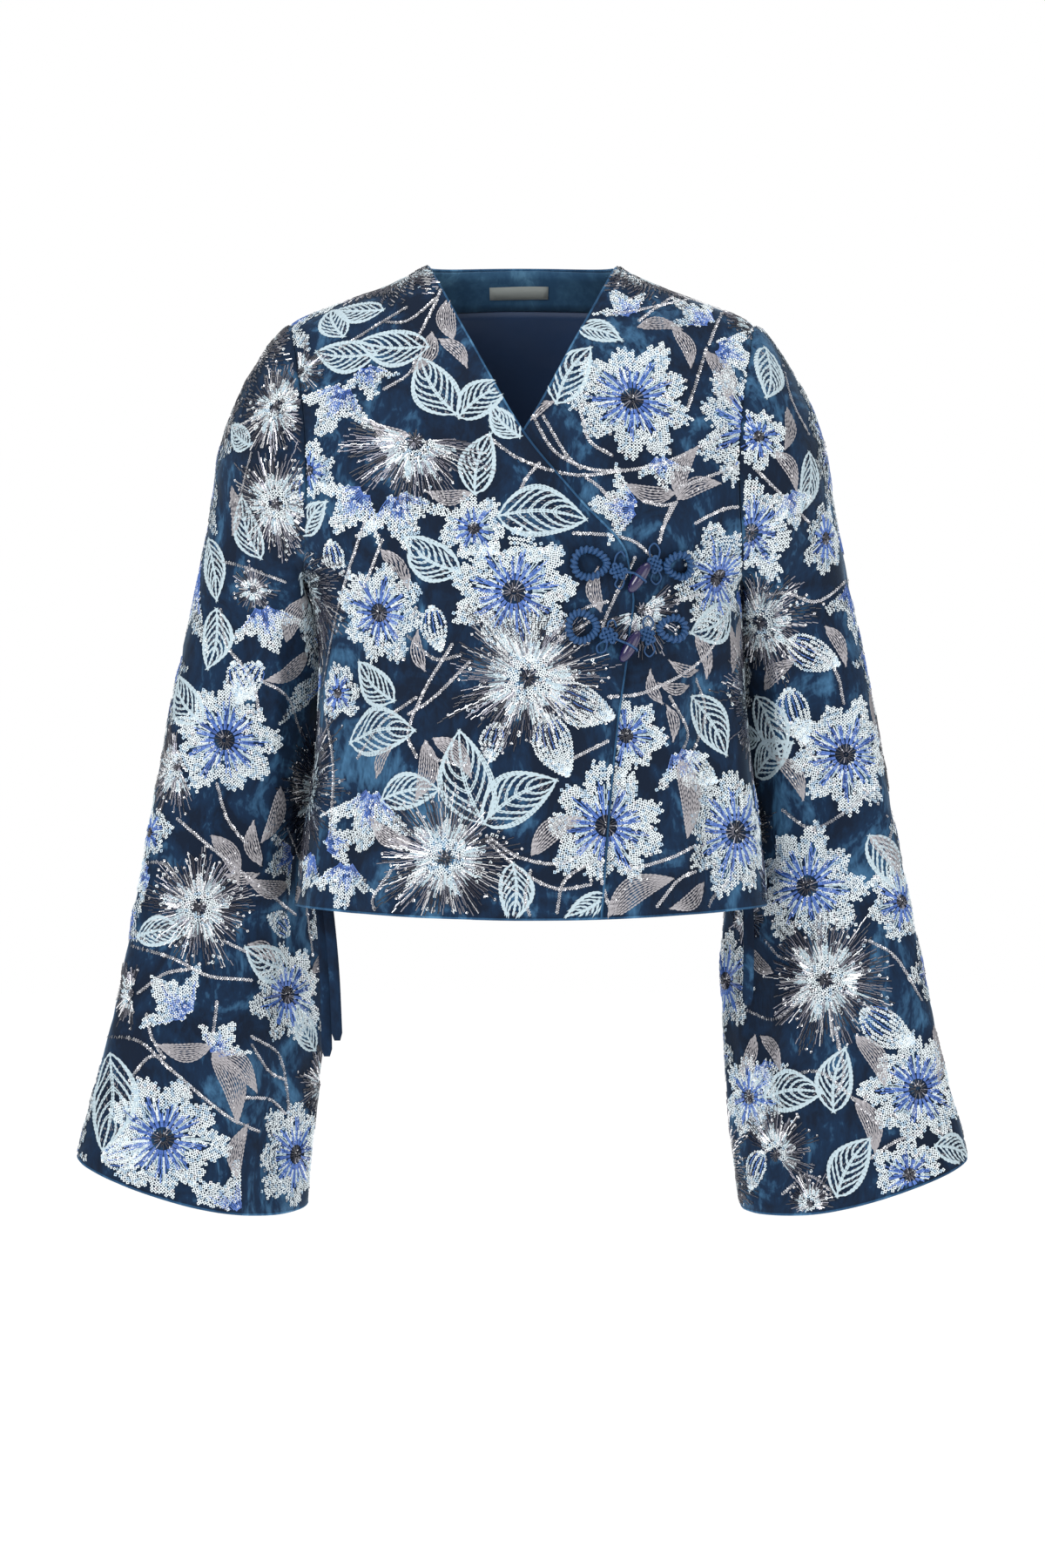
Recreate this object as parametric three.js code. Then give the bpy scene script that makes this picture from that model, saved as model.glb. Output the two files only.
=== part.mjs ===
// A cropped velvet wrap jacket, hollow and filled out as on a wearer, with V neck, wide sleeves
// and two knotted frog closures. Millimetres, +Z up, the front faces -Y, and +X is the wearer's left.
// The origin is the middle of the neck opening, level with the inner ends of the shoulder seams.
import * as THREE from "three";
import { mergeVertices } from "three/addons/utils/BufferGeometryUtils.js";

// Cloth
const CLOTH = 2; // velvet with its lining
const LINING = 1;
const FACING = 1.5;
const LABEL = 0.5;
const SEAM_GAP = 0.3; // between two pieces that are sewn together
const SLEEVE_GAP = 0.5; // between a body panel and the sleeve's wall at the armhole

// Body
const NECK_HALF_WIDTH = 76;
const BACK_NECK_RISE = 3; // how far the back of the neck stands above its sides
const SHOULDER_TIP_Z = -47;
const UNDERARM_Z = -255;
const HEM_Z = -521;
const HEM_SIDE_LIFT = 10; // the hem is this much higher at the side seams
const ARMHOLE_BOW = 9; // how far the armhole curves in towards the chest
const ROUNDNESS = 2.3; // exponent of the body's horizontal sections, 2 for an ellipse
const TOP_CROWDING = 1.9; // rows of the panels lie closer together towards the shoulder

// One row for each level of the body. halfWidth is the garment's outline from the front, and above the
// underarm it runs on under the sleeve. front and back are depths from the line at middle, and sway is
// how far the section hangs over to the wearer's left.
const BODY_LEVELS = [
  { z: -521, halfWidth: 189, front: 106, back: 96, middle: -22, sway: 7 },
  { z: -450, halfWidth: 181, front: 104, back: 92, middle: -20, sway: 8 },
  { z: -390, halfWidth: 172, front: 107, back: 92, middle: -17, sway: 8.5 },
  { z: -330, halfWidth: 169, front: 115, back: 94, middle: -10, sway: 8 },
  { z: -275, halfWidth: 171, front: 123, back: 99, middle: -4, sway: 4 },
  { z: -255, halfWidth: 175, front: 126, back: 100, middle: -2, sway: 0 },
  { z: -238, halfWidth: 192, front: 127, back: 102, middle: -1, sway: 0 },
  { z: -215, halfWidth: 214, front: 127, back: 104, middle: 0, sway: 0 },
  { z: -180, halfWidth: 230, front: 124, back: 107, middle: 0, sway: 0 },
  { z: -135, halfWidth: 233, front: 116, back: 108, middle: 0, sway: 0 },
  { z: -107, halfWidth: 227, front: 107, back: 105, middle: 0, sway: 0 },
  { z: -79, halfWidth: 214, front: 95, back: 98, middle: 0, sway: 0 },
  { z: -58, halfWidth: 199, front: 84, back: 90, middle: 0, sway: 0 },
  { z: -44, halfWidth: 180, front: 76, back: 84, middle: 0, sway: 0 },
  { z: -30, halfWidth: 146, front: 68, back: 77, middle: 0, sway: 0 },
  { z: -16, halfWidth: 109, front: 60, back: 69, middle: 0, sway: 0 },
  { z: -7, halfWidth: 89, front: 54, back: 63, middle: 0, sway: 0 },
  { z: 0, halfWidth: 76, front: 48, back: 58, middle: 0, sway: 0 },
];

// The free edge of a front, from the shoulder down: how far it is from the middle, on its own side.
const OVER_EDGE = [
  { z: 0, reach: 76 },
  { z: -67, reach: 40 },
  { z: -139, reach: 0 },
  { z: -191, reach: -43 },
  { z: -237, reach: -81 },
  { z: -260, reach: -84 },
  { z: -300, reach: -76 },
  { z: -400, reach: -62 },
  { z: -521, reach: -54 },
];
const UNDER_EDGE = [
  { z: 0, reach: 76 },
  { z: -67, reach: 40 },
  { z: -139, reach: 0 },
  { z: -182, reach: -34 },
  { z: -218, reach: -54 },
  { z: -250, reach: -58 },
  { z: -521, reach: -52 },
];

// The overlapping front lies on the other one, and comes back to the body's own surface beside it.
const OVERLAP = { lift: 4, fullWithin: 64, endsAt: 118, startsZ: -70, fullZ: -115 };

// Largest folds: a ridge for a depth above 0 and a trough below 0, leaning sideways as it runs down.
const FRONT_FOLDS = [
  { x: -152, top: -225, bottom: -525, lean: -16, width: 9, depth: 5 },
  { x: -133, top: -240, bottom: -525, lean: -12, width: 8, depth: -4 },
  { x: -104, top: -300, bottom: -525, lean: -12, width: 14, depth: 3.5 },
  { x: -34, top: -330, bottom: -525, lean: -8, width: 17, depth: 2.5 },
  { x: 24, top: -350, bottom: -525, lean: 2, width: 15, depth: -2.5 },
  { x: 104, top: -280, bottom: -525, lean: 12, width: 13, depth: 3.5 },
  { x: 128, top: -262, bottom: -525, lean: 18, width: 9, depth: -4 },
  { x: 149, top: -235, bottom: -525, lean: 24, width: 9, depth: 4.5 },
];
const BACK_FOLDS = [
  { x: -148, top: -215, bottom: -525, lean: -18, width: 10, depth: 5 },
  { x: -124, top: -230, bottom: -525, lean: -14, width: 9, depth: -4 },
  { x: -78, top: -290, bottom: -525, lean: -12, width: 17, depth: 4 },
  { x: -8, top: -310, bottom: -525, lean: 4, width: 19, depth: 3 },
  { x: 60, top: -270, bottom: -525, lean: 12, width: 16, depth: 3.5 },
  { x: 118, top: -240, bottom: -525, lean: 16, width: 10, depth: -4 },
  { x: 146, top: -220, bottom: -525, lean: 18, width: 10, depth: 5 },
];

// One row for each ring of a sleeve, from the armhole (along 0) to the cuff (along 1). out is the ring's
// point furthest from the body, in is the one beside the body, and depth is half its size across. sway
// is how far the point beside the body hangs over to the wearer's left, behind the body's side.
const SLEEVE_RINGS = [
  { along: 0, outX: 185, outY: 0, outZ: -47, inX: 175.5, inY: 0, inZ: -254.5, depth: 86, sway: 0 },
  { along: 0.03, outX: 199, outY: 0, outZ: -57, inX: 177.5, inY: 0, inZ: -254, depth: 86, sway: 0 },
  { along: 0.07, outX: 210, outY: 0, outZ: -73, inX: 179.5, inY: 1, inZ: -258, depth: 85, sway: 0 },
  { along: 0.12, outX: 225, outY: 0, outZ: -101, inX: 177, inY: 7, inZ: -267, depth: 80, sway: 2 },
  { along: 0.18, outX: 241, outY: 0, outZ: -142, inX: 173.5, inY: 21, inZ: -282, depth: 72, sway: 5 },
  { along: 0.26, outX: 249, outY: 2, outZ: -197, inX: 172.5, inY: 37, inZ: -308, depth: 60, sway: 6.5 },
  { along: 0.36, outX: 260, outY: 3, outZ: -266, inX: 172.5, inY: 57, inZ: -350, depth: 51, sway: 7.5 },
  { along: 0.47, outX: 275, outY: 2, outZ: -346, inX: 172, inY: 72, inZ: -410, depth: 48, sway: 7 },
  { along: 0.59, outX: 291, outY: 0, outZ: -431, inX: 171, inY: 85, inZ: -480, depth: 47, sway: 4 },
  { along: 0.72, outX: 309, outY: -2, outZ: -521, inX: 169, inY: 88, inZ: -562, depth: 49, sway: 0 },
  { along: 0.86, outX: 329, outY: -4, outZ: -621, inX: 172, inY: 82, inZ: -652, depth: 54, sway: 0 },
  { along: 1, outX: 354, outY: -4, outZ: -718, inX: 180, inY: 76, inZ: -750, depth: 60, sway: 0 },
];
const SLEEVE_BLEND = 0.14; // share of the sleeve in which the armhole's shape turns into a round one
const SLEEVE_POINTED = 1.85; // exponent of the sleeve's sections, under 2 for a fold on each side
const CUFF_FRONT = 13; // the cuff is this much lower in front than behind, halved
const CUFF_BOW = 6; // and this much lower in its middle than at its two sides
const CUFF_FROM = 0.7;

// Folds that run along a sleeve, a trough for a depth above 0 and a ridge below 0. turn is the angle
// round it in degrees, 0 outside, 90 in front, 180 beside the body and 270 behind.
const SLEEVE_FOLDS = [
  { turn: 58, start: 0.2, end: 1.2, drift: 8, width: 12, depth: 3.5 },
  { turn: 92, start: 0.12, end: 0.8, drift: -6, width: 9, depth: -3.5 },
  { turn: 120, start: 0.3, end: 1.3, drift: -10, width: 10, depth: 4 },
  { turn: 150, start: 0.1, end: 1.1, drift: 4, width: 9, depth: -3.5 },
  { turn: 208, start: 0.15, end: 1.2, drift: 6, width: 9, depth: -3 },
  { turn: 246, start: 0.2, end: 1.3, drift: 12, width: 11, depth: 4 },
  { turn: 292, start: 0.3, end: 1.2, drift: -10, width: 12, depth: 3.5 },
  { turn: 326, start: 0.1, end: 0.7, drift: 4, width: 10, depth: -3 },
];

// Facing, lining and label inside the back
const FACING_ROWS = 5; // rows of the back panel's grid, counted from the neck
const FACING_SIDE = 6; // columns of that grid that the facing leaves free at each side
const LINING_SIDE = 1; // columns that the lining leaves free at each side
const LINING_HEM = 0.3; // the lining starts this share of a row above the hem
const LINING_TOP = 0.05; // and ends this share of a row below the facing
const LABEL_SIZE = { x: -3, z: -13.5, width: 48, height: 10, off: 1.3 }; // off the facing

// Closures. x and z are places on the jacket's front, and every cord lies on the cloth.
const CORD_RING_RADIUS = 3.4;
const CORD_LOOP_RADIUS = 1.2;
const KNOT = { across: 12.5, thick: 7.5 };
const TOGGLE = { length: 28, radius: 4.4, blunt: 0.62 };
const FROGS = [
  {
    name: "upper",
    loopRing: { x: 52.6, z: -242.4, halfLength: 12.7, halfHeight: 10.4 },
    loopKnot: { x: 74.3, z: -248 },
    toggleKnot: { x: 102.7, z: -241.7 },
    toggleRing: { x: 121.4, z: -242.4, halfLength: 9.6, halfHeight: 8.4 },
    toggle: { x: 88.6, z: -252.7, lean: 36 },
  },
  {
    name: "lower",
    loopRing: { x: 46.6, z: -291.9, halfLength: 10.8, halfHeight: 10.8 },
    loopKnot: { x: 66.6, z: -298.7 },
    toggleKnot: { x: 97, z: -298.7 },
    toggleRing: { x: 115.9, z: -292.9, halfLength: 10, halfHeight: 8.5 },
    toggle: { x: 81.8, z: -307.3, lean: 32 },
  },
];
const RING_TAPER = 0.22; // a ring is narrower at the end beside its knot
const SEAT_GAP = 0.5; // between the cloth and the closures on it

// Ties of folded velvet that hang inside the side seams, with their points down the middle.
const TIE = { width: 8.6, thick: 3, sewnZ: -440, sewnIn: 7.1 };
const TIES = [
  {
    name: "tie_right_long",
    side: -1,
    y: -22,
    points: [{ x: 162, z: -500 }, { x: 158, z: -570 }, { x: 156.5, z: -633 }],
  },
  {
    name: "tie_right_short",
    side: -1,
    y: -29,
    points: [{ x: 157, z: -500 }, { x: 151, z: -560 }, { x: 148, z: -620 }],
  },
  {
    name: "tie_left",
    side: 1,
    y: -26,
    points: [{ x: 180, z: -490 }, { x: 181, z: -540 }, { x: 180, z: -592 }],
  },
];

// Resolution of the solids
const GRID = {
  back: { across: 30, up: 20 },
  front: { across: 20, up: 20 },
  sleeve: { around: 28, along: 21 },
  label: { across: 4, up: 1 },
  ring: { around: 8, along: 22 },
  tie: { along: 8 },
};

const FINISHES = {
  velvet: { color: 0x1c4066, roughness: 0.85, metalness: 0 },
  lining: { color: 0x14305a, roughness: 0.45, metalness: 0 },
  label: { color: 0xa9b3ae, roughness: 0.8, metalness: 0 },
  cord: { color: 0x24477c, roughness: 0.55, metalness: 0 },
  toggle: { color: 0x1d1c58, roughness: 0.18, metalness: 0 },
};

const lerp = THREE.MathUtils.lerp;
const smooth = THREE.MathUtils.smoothstep;
const radians = THREE.MathUtils.degToRad;

// A smooth function through one column of a table, with no overshoot between its rows.
function curveThrough(rows, along, column) {
  const sorted = [...rows].sort((p, q) => p[along] - q[along]);
  const at = sorted.map((row) => row[along]);
  const value = sorted.map((row) => row[column]);
  const last = at.length - 1;
  const secant = at.slice(1).map((x, i) => (value[i + 1] - value[i]) / (x - at[i]));
  const slope = at.map((_, i) => {
    if (i === 0) return secant[0];
    if (i === last) return secant[last - 1];
    if (secant[i - 1] * secant[i] <= 0) return 0;
    const before = at[i] - at[i - 1];
    const after = at[i + 1] - at[i];
    const weights = (2 * after + before) / secant[i - 1] + (after + 2 * before) / secant[i];
    return (3 * (before + after)) / weights;
  });
  return (x) => {
    const place = THREE.MathUtils.clamp(x, at[0], at[last]);
    let i = 0;
    while (i < last - 1 && place > at[i + 1]) i++;
    const span = at[i + 1] - at[i];
    const u = (place - at[i]) / span;
    return (
      value[i] * (1 + 2 * u) * (1 - u) ** 2 +
      slope[i] * span * u * (1 - u) ** 2 +
      value[i + 1] * u * u * (3 - 2 * u) +
      slope[i + 1] * span * u * u * (u - 1)
    );
  };
}

const halfWidthAt = curveThrough(BODY_LEVELS, "z", "halfWidth");
const frontDepthAt = curveThrough(BODY_LEVELS, "z", "front");
const backDepthAt = curveThrough(BODY_LEVELS, "z", "back");
const middleAt = curveThrough(BODY_LEVELS, "z", "middle");
const swayAt = curveThrough(BODY_LEVELS, "z", "sway");
const slopeOf = (curve, z) => curve(z + 0.5) - curve(z - 0.5);

// The height at which the shoulder seam passes a distance from the middle.
function shoulderZ(x) {
  let low = SHOULDER_TIP_Z;
  let high = 0;
  for (let i = 0; i < 40; i++) {
    const z = (low + high) / 2;
    if (halfWidthAt(z) > x) low = z;
    else high = z;
  }
  return (low + high) / 2;
}

// The side edge of the body panels: the side seam, then the armhole.
function sideX(z) {
  if (z <= UNDERARM_Z) return halfWidthAt(z);
  const share = (z - UNDERARM_Z) / (SHOULDER_TIP_Z - UNDERARM_Z);
  const chord = lerp(halfWidthAt(UNDERARM_Z), halfWidthAt(SHOULDER_TIP_Z), share);
  return chord - ARMHOLE_BOW * Math.sin(Math.PI * share);
}

function foldHeight(folds, x, z) {
  return folds.reduce((sum, fold) => {
    const down = (fold.top - z) / (fold.top - fold.bottom);
    if (down <= 0) return sum;
    const off = (x - fold.x - fold.lean * down) / fold.width;
    return sum + fold.depth * Math.exp(-off * off) * smooth(down, 0, 0.45);
  }, 0);
}

// A point of the body's surface and its outward normal. x is measured from the section's own centre,
// face is -1 in front and 1 behind, and lift is the distance out from the surface.
function bodyAt(x, z, face, lift = 0) {
  const level = Math.min(z, 0);
  const width = halfWidthAt(level);
  const depthAt = face < 0 ? frontDepthAt : backDepthAt;
  const depth = depthAt(level);
  const across = Math.min(Math.abs(x) / width, 1) ** ROUNDNESS;
  const out = depth * (1 - across) ** (1 / ROUNDNESS);
  const outShare = out / depth;
  const normalX = (Math.sign(x) * (Math.abs(x) / width) ** (ROUNDNESS - 1)) / width;
  const normalY = (face * outShare ** (ROUNDNESS - 1)) / depth;
  const normalZ =
    z > 0
      ? 0
      : -(across * slopeOf(halfWidthAt, level)) / width -
        (outShare ** ROUNDNESS * slopeOf(depthAt, level)) / depth -
        normalY * slopeOf(middleAt, level);
  const normal = new THREE.Vector3(normalX, normalY, normalZ).normalize();
  const folds = face < 0 ? FRONT_FOLDS : BACK_FOLDS;
  const point = new THREE.Vector3(x + swayAt(level), middleAt(level) + face * (out + SEAM_GAP / 2), z);
  point.addScaledVector(normal, lift + foldHeight(folds, x, z));
  return { point, normal };
}

// Where a row of a panel lies: share 0 at the hem and 1 at the shoulder.
const rise = (share) => 1 - (1 - share) ** TOP_CROWDING;
const hemLift = (x, up) => HEM_SIDE_LIFT * (x / halfWidthAt(HEM_Z)) ** 2 * (1 - up);

// The angle round a section of the body at which it is a distance from the middle, and back again.
const angleAt = (x, z) => {
  const share = THREE.MathUtils.clamp(x / halfWidthAt(z), -1, 1);
  return Math.acos(Math.sign(share) * Math.abs(share) ** (ROUNDNESS / 2));
};
const acrossAt = (angle, z) =>
  halfWidthAt(z) * Math.sign(Math.cos(angle)) * Math.abs(Math.cos(angle)) ** (2 / ROUNDNESS);

// How far the overlapping front is lifted off the body's surface.
function overlapLift(reach, z) {
  const beside = 1 - smooth(reach, OVERLAP.fullWithin, OVERLAP.endsAt);
  return OVERLAP.lift * beside * smooth(-z, -OVERLAP.startsZ, -OVERLAP.fullZ);
}

// A grid of points with their normals: one list for each column, from the bottom row up.
function gridOf(columns, rows, at) {
  return Array.from({ length: columns + 1 }, (_, i) =>
    Array.from({ length: rows + 1 }, (_, j) => at(i / columns, j / rows)),
  );
}

// Joins a grid of points to its copy a wall's thickness inwards. closed makes the last column the first
// one, and inset moves the whole wall inwards.
function wall(grid, thickness, closed = false, inset = 0) {
  const points = [];
  const faces = [];
  const columns = grid.length - 1;
  const rows = grid[0].length - 1;
  const lines = closed ? columns : columns + 1;
  for (const column of grid.slice(0, lines)) {
    for (const { point, normal } of column) {
      points.push(point.clone().addScaledVector(normal, -inset));
      points.push(point.clone().addScaledVector(normal, -inset - thickness));
    }
  }
  const outer = (i, j) => 2 * ((i % lines) * (rows + 1) + j);
  const inner = (i, j) => outer(i, j) + 1;
  const quad = (a, b, c, d) => faces.push(a, b, c, a, c, d);
  for (let i = 0; i < columns; i++) {
    for (let j = 0; j < rows; j++) {
      quad(outer(i, j), outer(i + 1, j), outer(i + 1, j + 1), outer(i, j + 1));
      quad(inner(i, j), inner(i, j + 1), inner(i + 1, j + 1), inner(i + 1, j));
    }
    quad(outer(i, 0), inner(i, 0), inner(i + 1, 0), outer(i + 1, 0));
    quad(outer(i, rows), outer(i + 1, rows), inner(i + 1, rows), inner(i, rows));
  }
  for (let j = 0; j < rows && !closed; j++) {
    quad(outer(0, j), outer(0, j + 1), inner(0, j + 1), inner(0, j));
    quad(outer(columns, j), inner(columns, j), inner(columns, j + 1), outer(columns, j + 1));
  }
  return solidFrom(points, faces);
}

// A closed geometry from points and triangles, turned so that its faces point out.
function solidFrom(points, faces) {
  const volume = faces.reduce((sum, _, k) => {
    if (k % 3) return sum;
    const [a, b, c] = [points[faces[k]], points[faces[k + 1]], points[faces[k + 2]]];
    return sum + a.dot(b.clone().cross(c));
  }, 0);
  const geometry = new THREE.BufferGeometry().setFromPoints(points);
  geometry.setIndex(volume < 0 ? [...faces].reverse() : faces);
  geometry.computeVertexNormals();
  return geometry;
}

const jacket = new THREE.Group();
jacket.name = "velvet_jacket";

function add(name, geometry, finish) {
  const mesh = new THREE.Mesh(geometry, new THREE.MeshStandardMaterial(FINISHES[finish]));
  mesh.name = name;
  jacket.add(mesh);
  return mesh;
}

// The back's grid: from side seam to side seam, up to the neck and both shoulder seams.
function backGrid() {
  const neckShare = 0.42; // share of the half panel's columns that end at the neck
  const tipX = halfWidthAt(SHOULDER_TIP_Z);
  const topX = (share) => {
    if (share > neckShare) return lerp(NECK_HALF_WIDTH, tipX, (share - neckShare) / (1 - neckShare));
    return NECK_HALF_WIDTH * Math.sin((Math.PI / 2) * (share / neckShare)) ** (2 / ROUNDNESS);
  };
  const topZ = (x) =>
    x > NECK_HALF_WIDTH ? shoulderZ(x) : BACK_NECK_RISE * (1 - (x / NECK_HALF_WIDTH) ** 2);
  const at = (across, upShare) => {
    const side = Math.sign(across - 0.5);
    const share = Math.abs(2 * across - 1);
    const up = rise(upShare);
    const edge = sideX(lerp(HEM_Z, SHOULDER_TIP_Z, up));
    const round = Math.sin((Math.PI / 2) * share) ** (2 / ROUNDNESS);
    const even = lerp(round, share, smooth(up, 0.45, 0.7));
    const x = edge * lerp(even, topX(share) / tipX, smooth(up, 0.6, 1));
    const z = lerp(HEM_Z, topZ(topX(share)), up) + hemLift(x, up);
    return bodyAt(side * x, z, 1);
  };
  return gridOf(GRID.back.across, GRID.back.up, at);
}

// A front, from its free edge to the side seam and armhole. side is -1 for the wearer's right.
function frontPanel(side, edgeRows, liftAt) {
  const edgeAt = curveThrough(edgeRows, "z", "reach");
  const at = (across, upShare) => {
    const up = rise(upShare);
    const edgeZ = lerp(HEM_Z, 0, up);
    const sideZ = lerp(HEM_Z, SHOULDER_TIP_Z, up);
    const angle = lerp(angleAt(edgeAt(edgeZ), edgeZ), angleAt(sideX(sideZ), sideZ), across);
    const z = lerp(edgeZ, sideZ, across);
    const reach = acrossAt(angle, z);
    return bodyAt(side * reach, z + hemLift(reach, up), -1, liftAt(reach, z));
  };
  return wall(gridOf(GRID.front.across, GRID.front.up, at), CLOTH);
}

const sleeveColumn = Object.fromEntries(
  ["outX", "outY", "outZ", "inX", "inY", "inZ", "depth", "sway"].map((column) => [
    column,
    curveThrough(SLEEVE_RINGS, "along", column),
  ]),
);

// A point of the sleeve's surface before its folds, on the wearer's left. side is -1 for the sleeve that
// is then mirrored to the right, and turn is in radians.
function sleeveForm(side, turn, along) {
  const ring = Object.fromEntries(
    Object.entries(sleeveColumn).map(([column, curve]) => [column, curve(along)]),
  );
  const out = new THREE.Vector3(ring.outX, ring.outY, ring.outZ);
  const inner = new THREE.Vector3(ring.inX + side * ring.sway, ring.inY, ring.inZ);
  const middle = out.clone().add(inner).multiplyScalar(0.5);
  const major = out.clone().sub(inner).multiplyScalar(0.5);
  const long = major.clone().normalize();
  const minor = new THREE.Vector3(0, 1, 0).addScaledVector(long, -long.y).normalize();
  const power = 2 / lerp(2, SLEEVE_POINTED, smooth(along, 0.1, 0.5));
  const cos = Math.cos(turn);
  const sin = Math.sin(turn);
  const round = middle
    .addScaledVector(major, Math.sign(cos) * Math.abs(cos) ** power)
    .addScaledVector(minor, -Math.sign(sin) * Math.abs(sin) ** power * ring.depth);
  round.z -= (CUFF_FRONT * sin + CUFF_BOW * sin * sin) * smooth(along, CUFF_FROM, 1);
  if (along >= SLEEVE_BLEND) return round;
  const z = lerp(UNDERARM_Z, SHOULDER_TIP_Z, (1 + cos) / 2);
  const seam = bodyAt(sideX(z), z, sin >= 0 ? -1 : 1).point;
  seam.x += SLEEVE_GAP;
  return seam.lerp(round, smooth(along, 0, SLEEVE_BLEND));
}

function sleeveFoldHeight(turn, along) {
  const degrees = THREE.MathUtils.radToDeg(turn);
  return SLEEVE_FOLDS.reduce((sum, fold) => {
    if (along < fold.start || along > fold.end) return sum;
    const share = (along - fold.start) / (fold.end - fold.start);
    const off = (degrees - fold.turn - fold.drift * share) / fold.width;
    return sum + fold.depth * Math.exp(-off * off) * smooth(share, 0, 0.3) * (1 - smooth(share, 0.7, 1));
  }, 0);
}

// A sleeve: one tube from the armhole to the cuff. Its normals point into the tube, so that its wall
// grows outwards from sleeveForm and stays clear of the body's panels.
function sleeve(side) {
  const step = 0.004;
  const at = (around, along) => {
    const turn = 2 * Math.PI * around;
    const before = Math.max(along - step, 0);
    const after = Math.min(along + step, 1);
    const down = sleeveForm(side, turn, after).sub(sleeveForm(side, turn, before));
    const round = sleeveForm(side, turn + step, along).sub(sleeveForm(side, turn - step, along));
    const normal = down.cross(round).normalize();
    const point = sleeveForm(side, turn, along);
    point.addScaledVector(normal, sleeveFoldHeight(turn, along));
    point.x *= side;
    normal.x *= side;
    return { point, normal };
  };
  return wall(gridOf(GRID.sleeve.around, GRID.sleeve.along, at), CLOTH, true);
}

// A piece inside the back, made from part of the back's grid. from and to are rows, with shares of one.
function insideBack(grid, side, from, to, thickness) {
  const rows = [from];
  for (let j = Math.floor(from) + 1; j < to; j++) rows.push(j);
  rows.push(to);
  const at = (column, row) => {
    const low = column[Math.floor(row)];
    const high = column[Math.ceil(row)];
    const point = low.point.clone().lerp(high.point, row % 1);
    const normal = low.normal.clone().lerp(high.normal, row % 1);
    return { point, normal };
  };
  const part = grid.slice(side, grid.length - side).map((column) => rows.map((row) => at(column, row)));
  return wall(part, thickness, false, CLOTH + SEAM_GAP);
}

// The woven label on the facing, plain.
function neckLabel() {
  const { x, z, width, height, off } = LABEL_SIZE;
  const lift = -CLOTH - FACING - off;
  const at = (across, up) =>
    bodyAt(x + (across - 0.5) * width, z + (up - 0.5) * height, 1, lift);
  return wall(gridOf(GRID.label.across, GRID.label.up, at), LABEL);
}

// The place where a line along the surface's normal meets the cloth of the front.
const seeker = new THREE.Raycaster();
function onFront(x, z) {
  const { point, normal } = bodyAt(x - swayAt(z), z, -1, 30);
  seeker.set(point, normal.clone().negate());
  return { point: seeker.intersectObjects(fronts, false)[0].point, normal };
}

// A closed ring of cord that lies on the front, its narrow end towards its knot.
function cordRing(ring, towards) {
  const points = Array.from({ length: GRID.ring.along }, (_, k) => {
    const angle = (2 * Math.PI * k) / GRID.ring.along;
    const narrowing = 1 - RING_TAPER * Math.cos(angle);
    const x = ring.x + towards * ring.halfLength * Math.cos(angle);
    const { point, normal } = onFront(x, ring.z + ring.halfHeight * Math.sin(angle) * narrowing);
    return point.addScaledVector(normal, CORD_RING_RADIUS + SEAT_GAP);
  });
  const path = new THREE.CatmullRomCurve3(points, true);
  return new THREE.TubeGeometry(path, GRID.ring.along, CORD_RING_RADIUS, GRID.ring.around, true);
}

// A knot of cord: a round cushion that lies on the front.
function knot(name, { x, z }) {
  const mesh = add(name, new THREE.SphereGeometry(0.5, 12, 8), "cord");
  const { point, normal } = onFront(x, z);
  mesh.scale.set(KNOT.across, KNOT.across, KNOT.thick);
  mesh.position.copy(point).addScaledVector(normal, KNOT.thick / 2 + SEAT_GAP);
  mesh.quaternion.setFromUnitVectors(new THREE.Vector3(0, 0, 1), normal);
}

const toggleRadius = (share) => TOGGLE.radius * Math.max(1 - share ** 2, 0) ** TOGGLE.blunt;

// The middle of a toggle that rests on the cloth, and the directions along it, across it and out.
function toggleSeat({ x, z, lean }) {
  const { point, normal } = onFront(x, z);
  const upright = new THREE.Vector3(Math.sin(radians(lean)), 0, Math.cos(radians(lean)));
  const along = upright.addScaledVector(normal, -upright.dot(normal)).normalize();
  const across = along.clone().cross(normal);
  const needed = [-0.9, -0.6, -0.3, 0, 0.3, 0.6, 0.9].map((share) => {
    const beside = point.clone().addScaledVector(along, (share * TOGGLE.length) / 2);
    const under = onFront(beside.x, beside.z).point;
    return under.sub(point).dot(normal) + toggleRadius(share);
  });
  const middle = point.addScaledVector(normal, Math.max(...needed) + SEAT_GAP);
  return { middle, along, across, normal };
}

// A polished toggle with blunt tapering ends, leaning across the overlap.
function toggleButton(name, toggle) {
  const steps = 10;
  const profile = Array.from({ length: steps + 1 }, (_, k) => {
    const share = (2 * k) / steps - 1;
    return new THREE.Vector2(toggleRadius(share), (share * TOGGLE.length) / 2);
  });
  const mesh = add(name, new THREE.LatheGeometry(profile, 12), "toggle");
  const { middle, along } = toggleSeat(toggle);
  mesh.position.copy(middle);
  mesh.quaternion.setFromUnitVectors(new THREE.Vector3(0, 1, 0), along);
}

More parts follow.
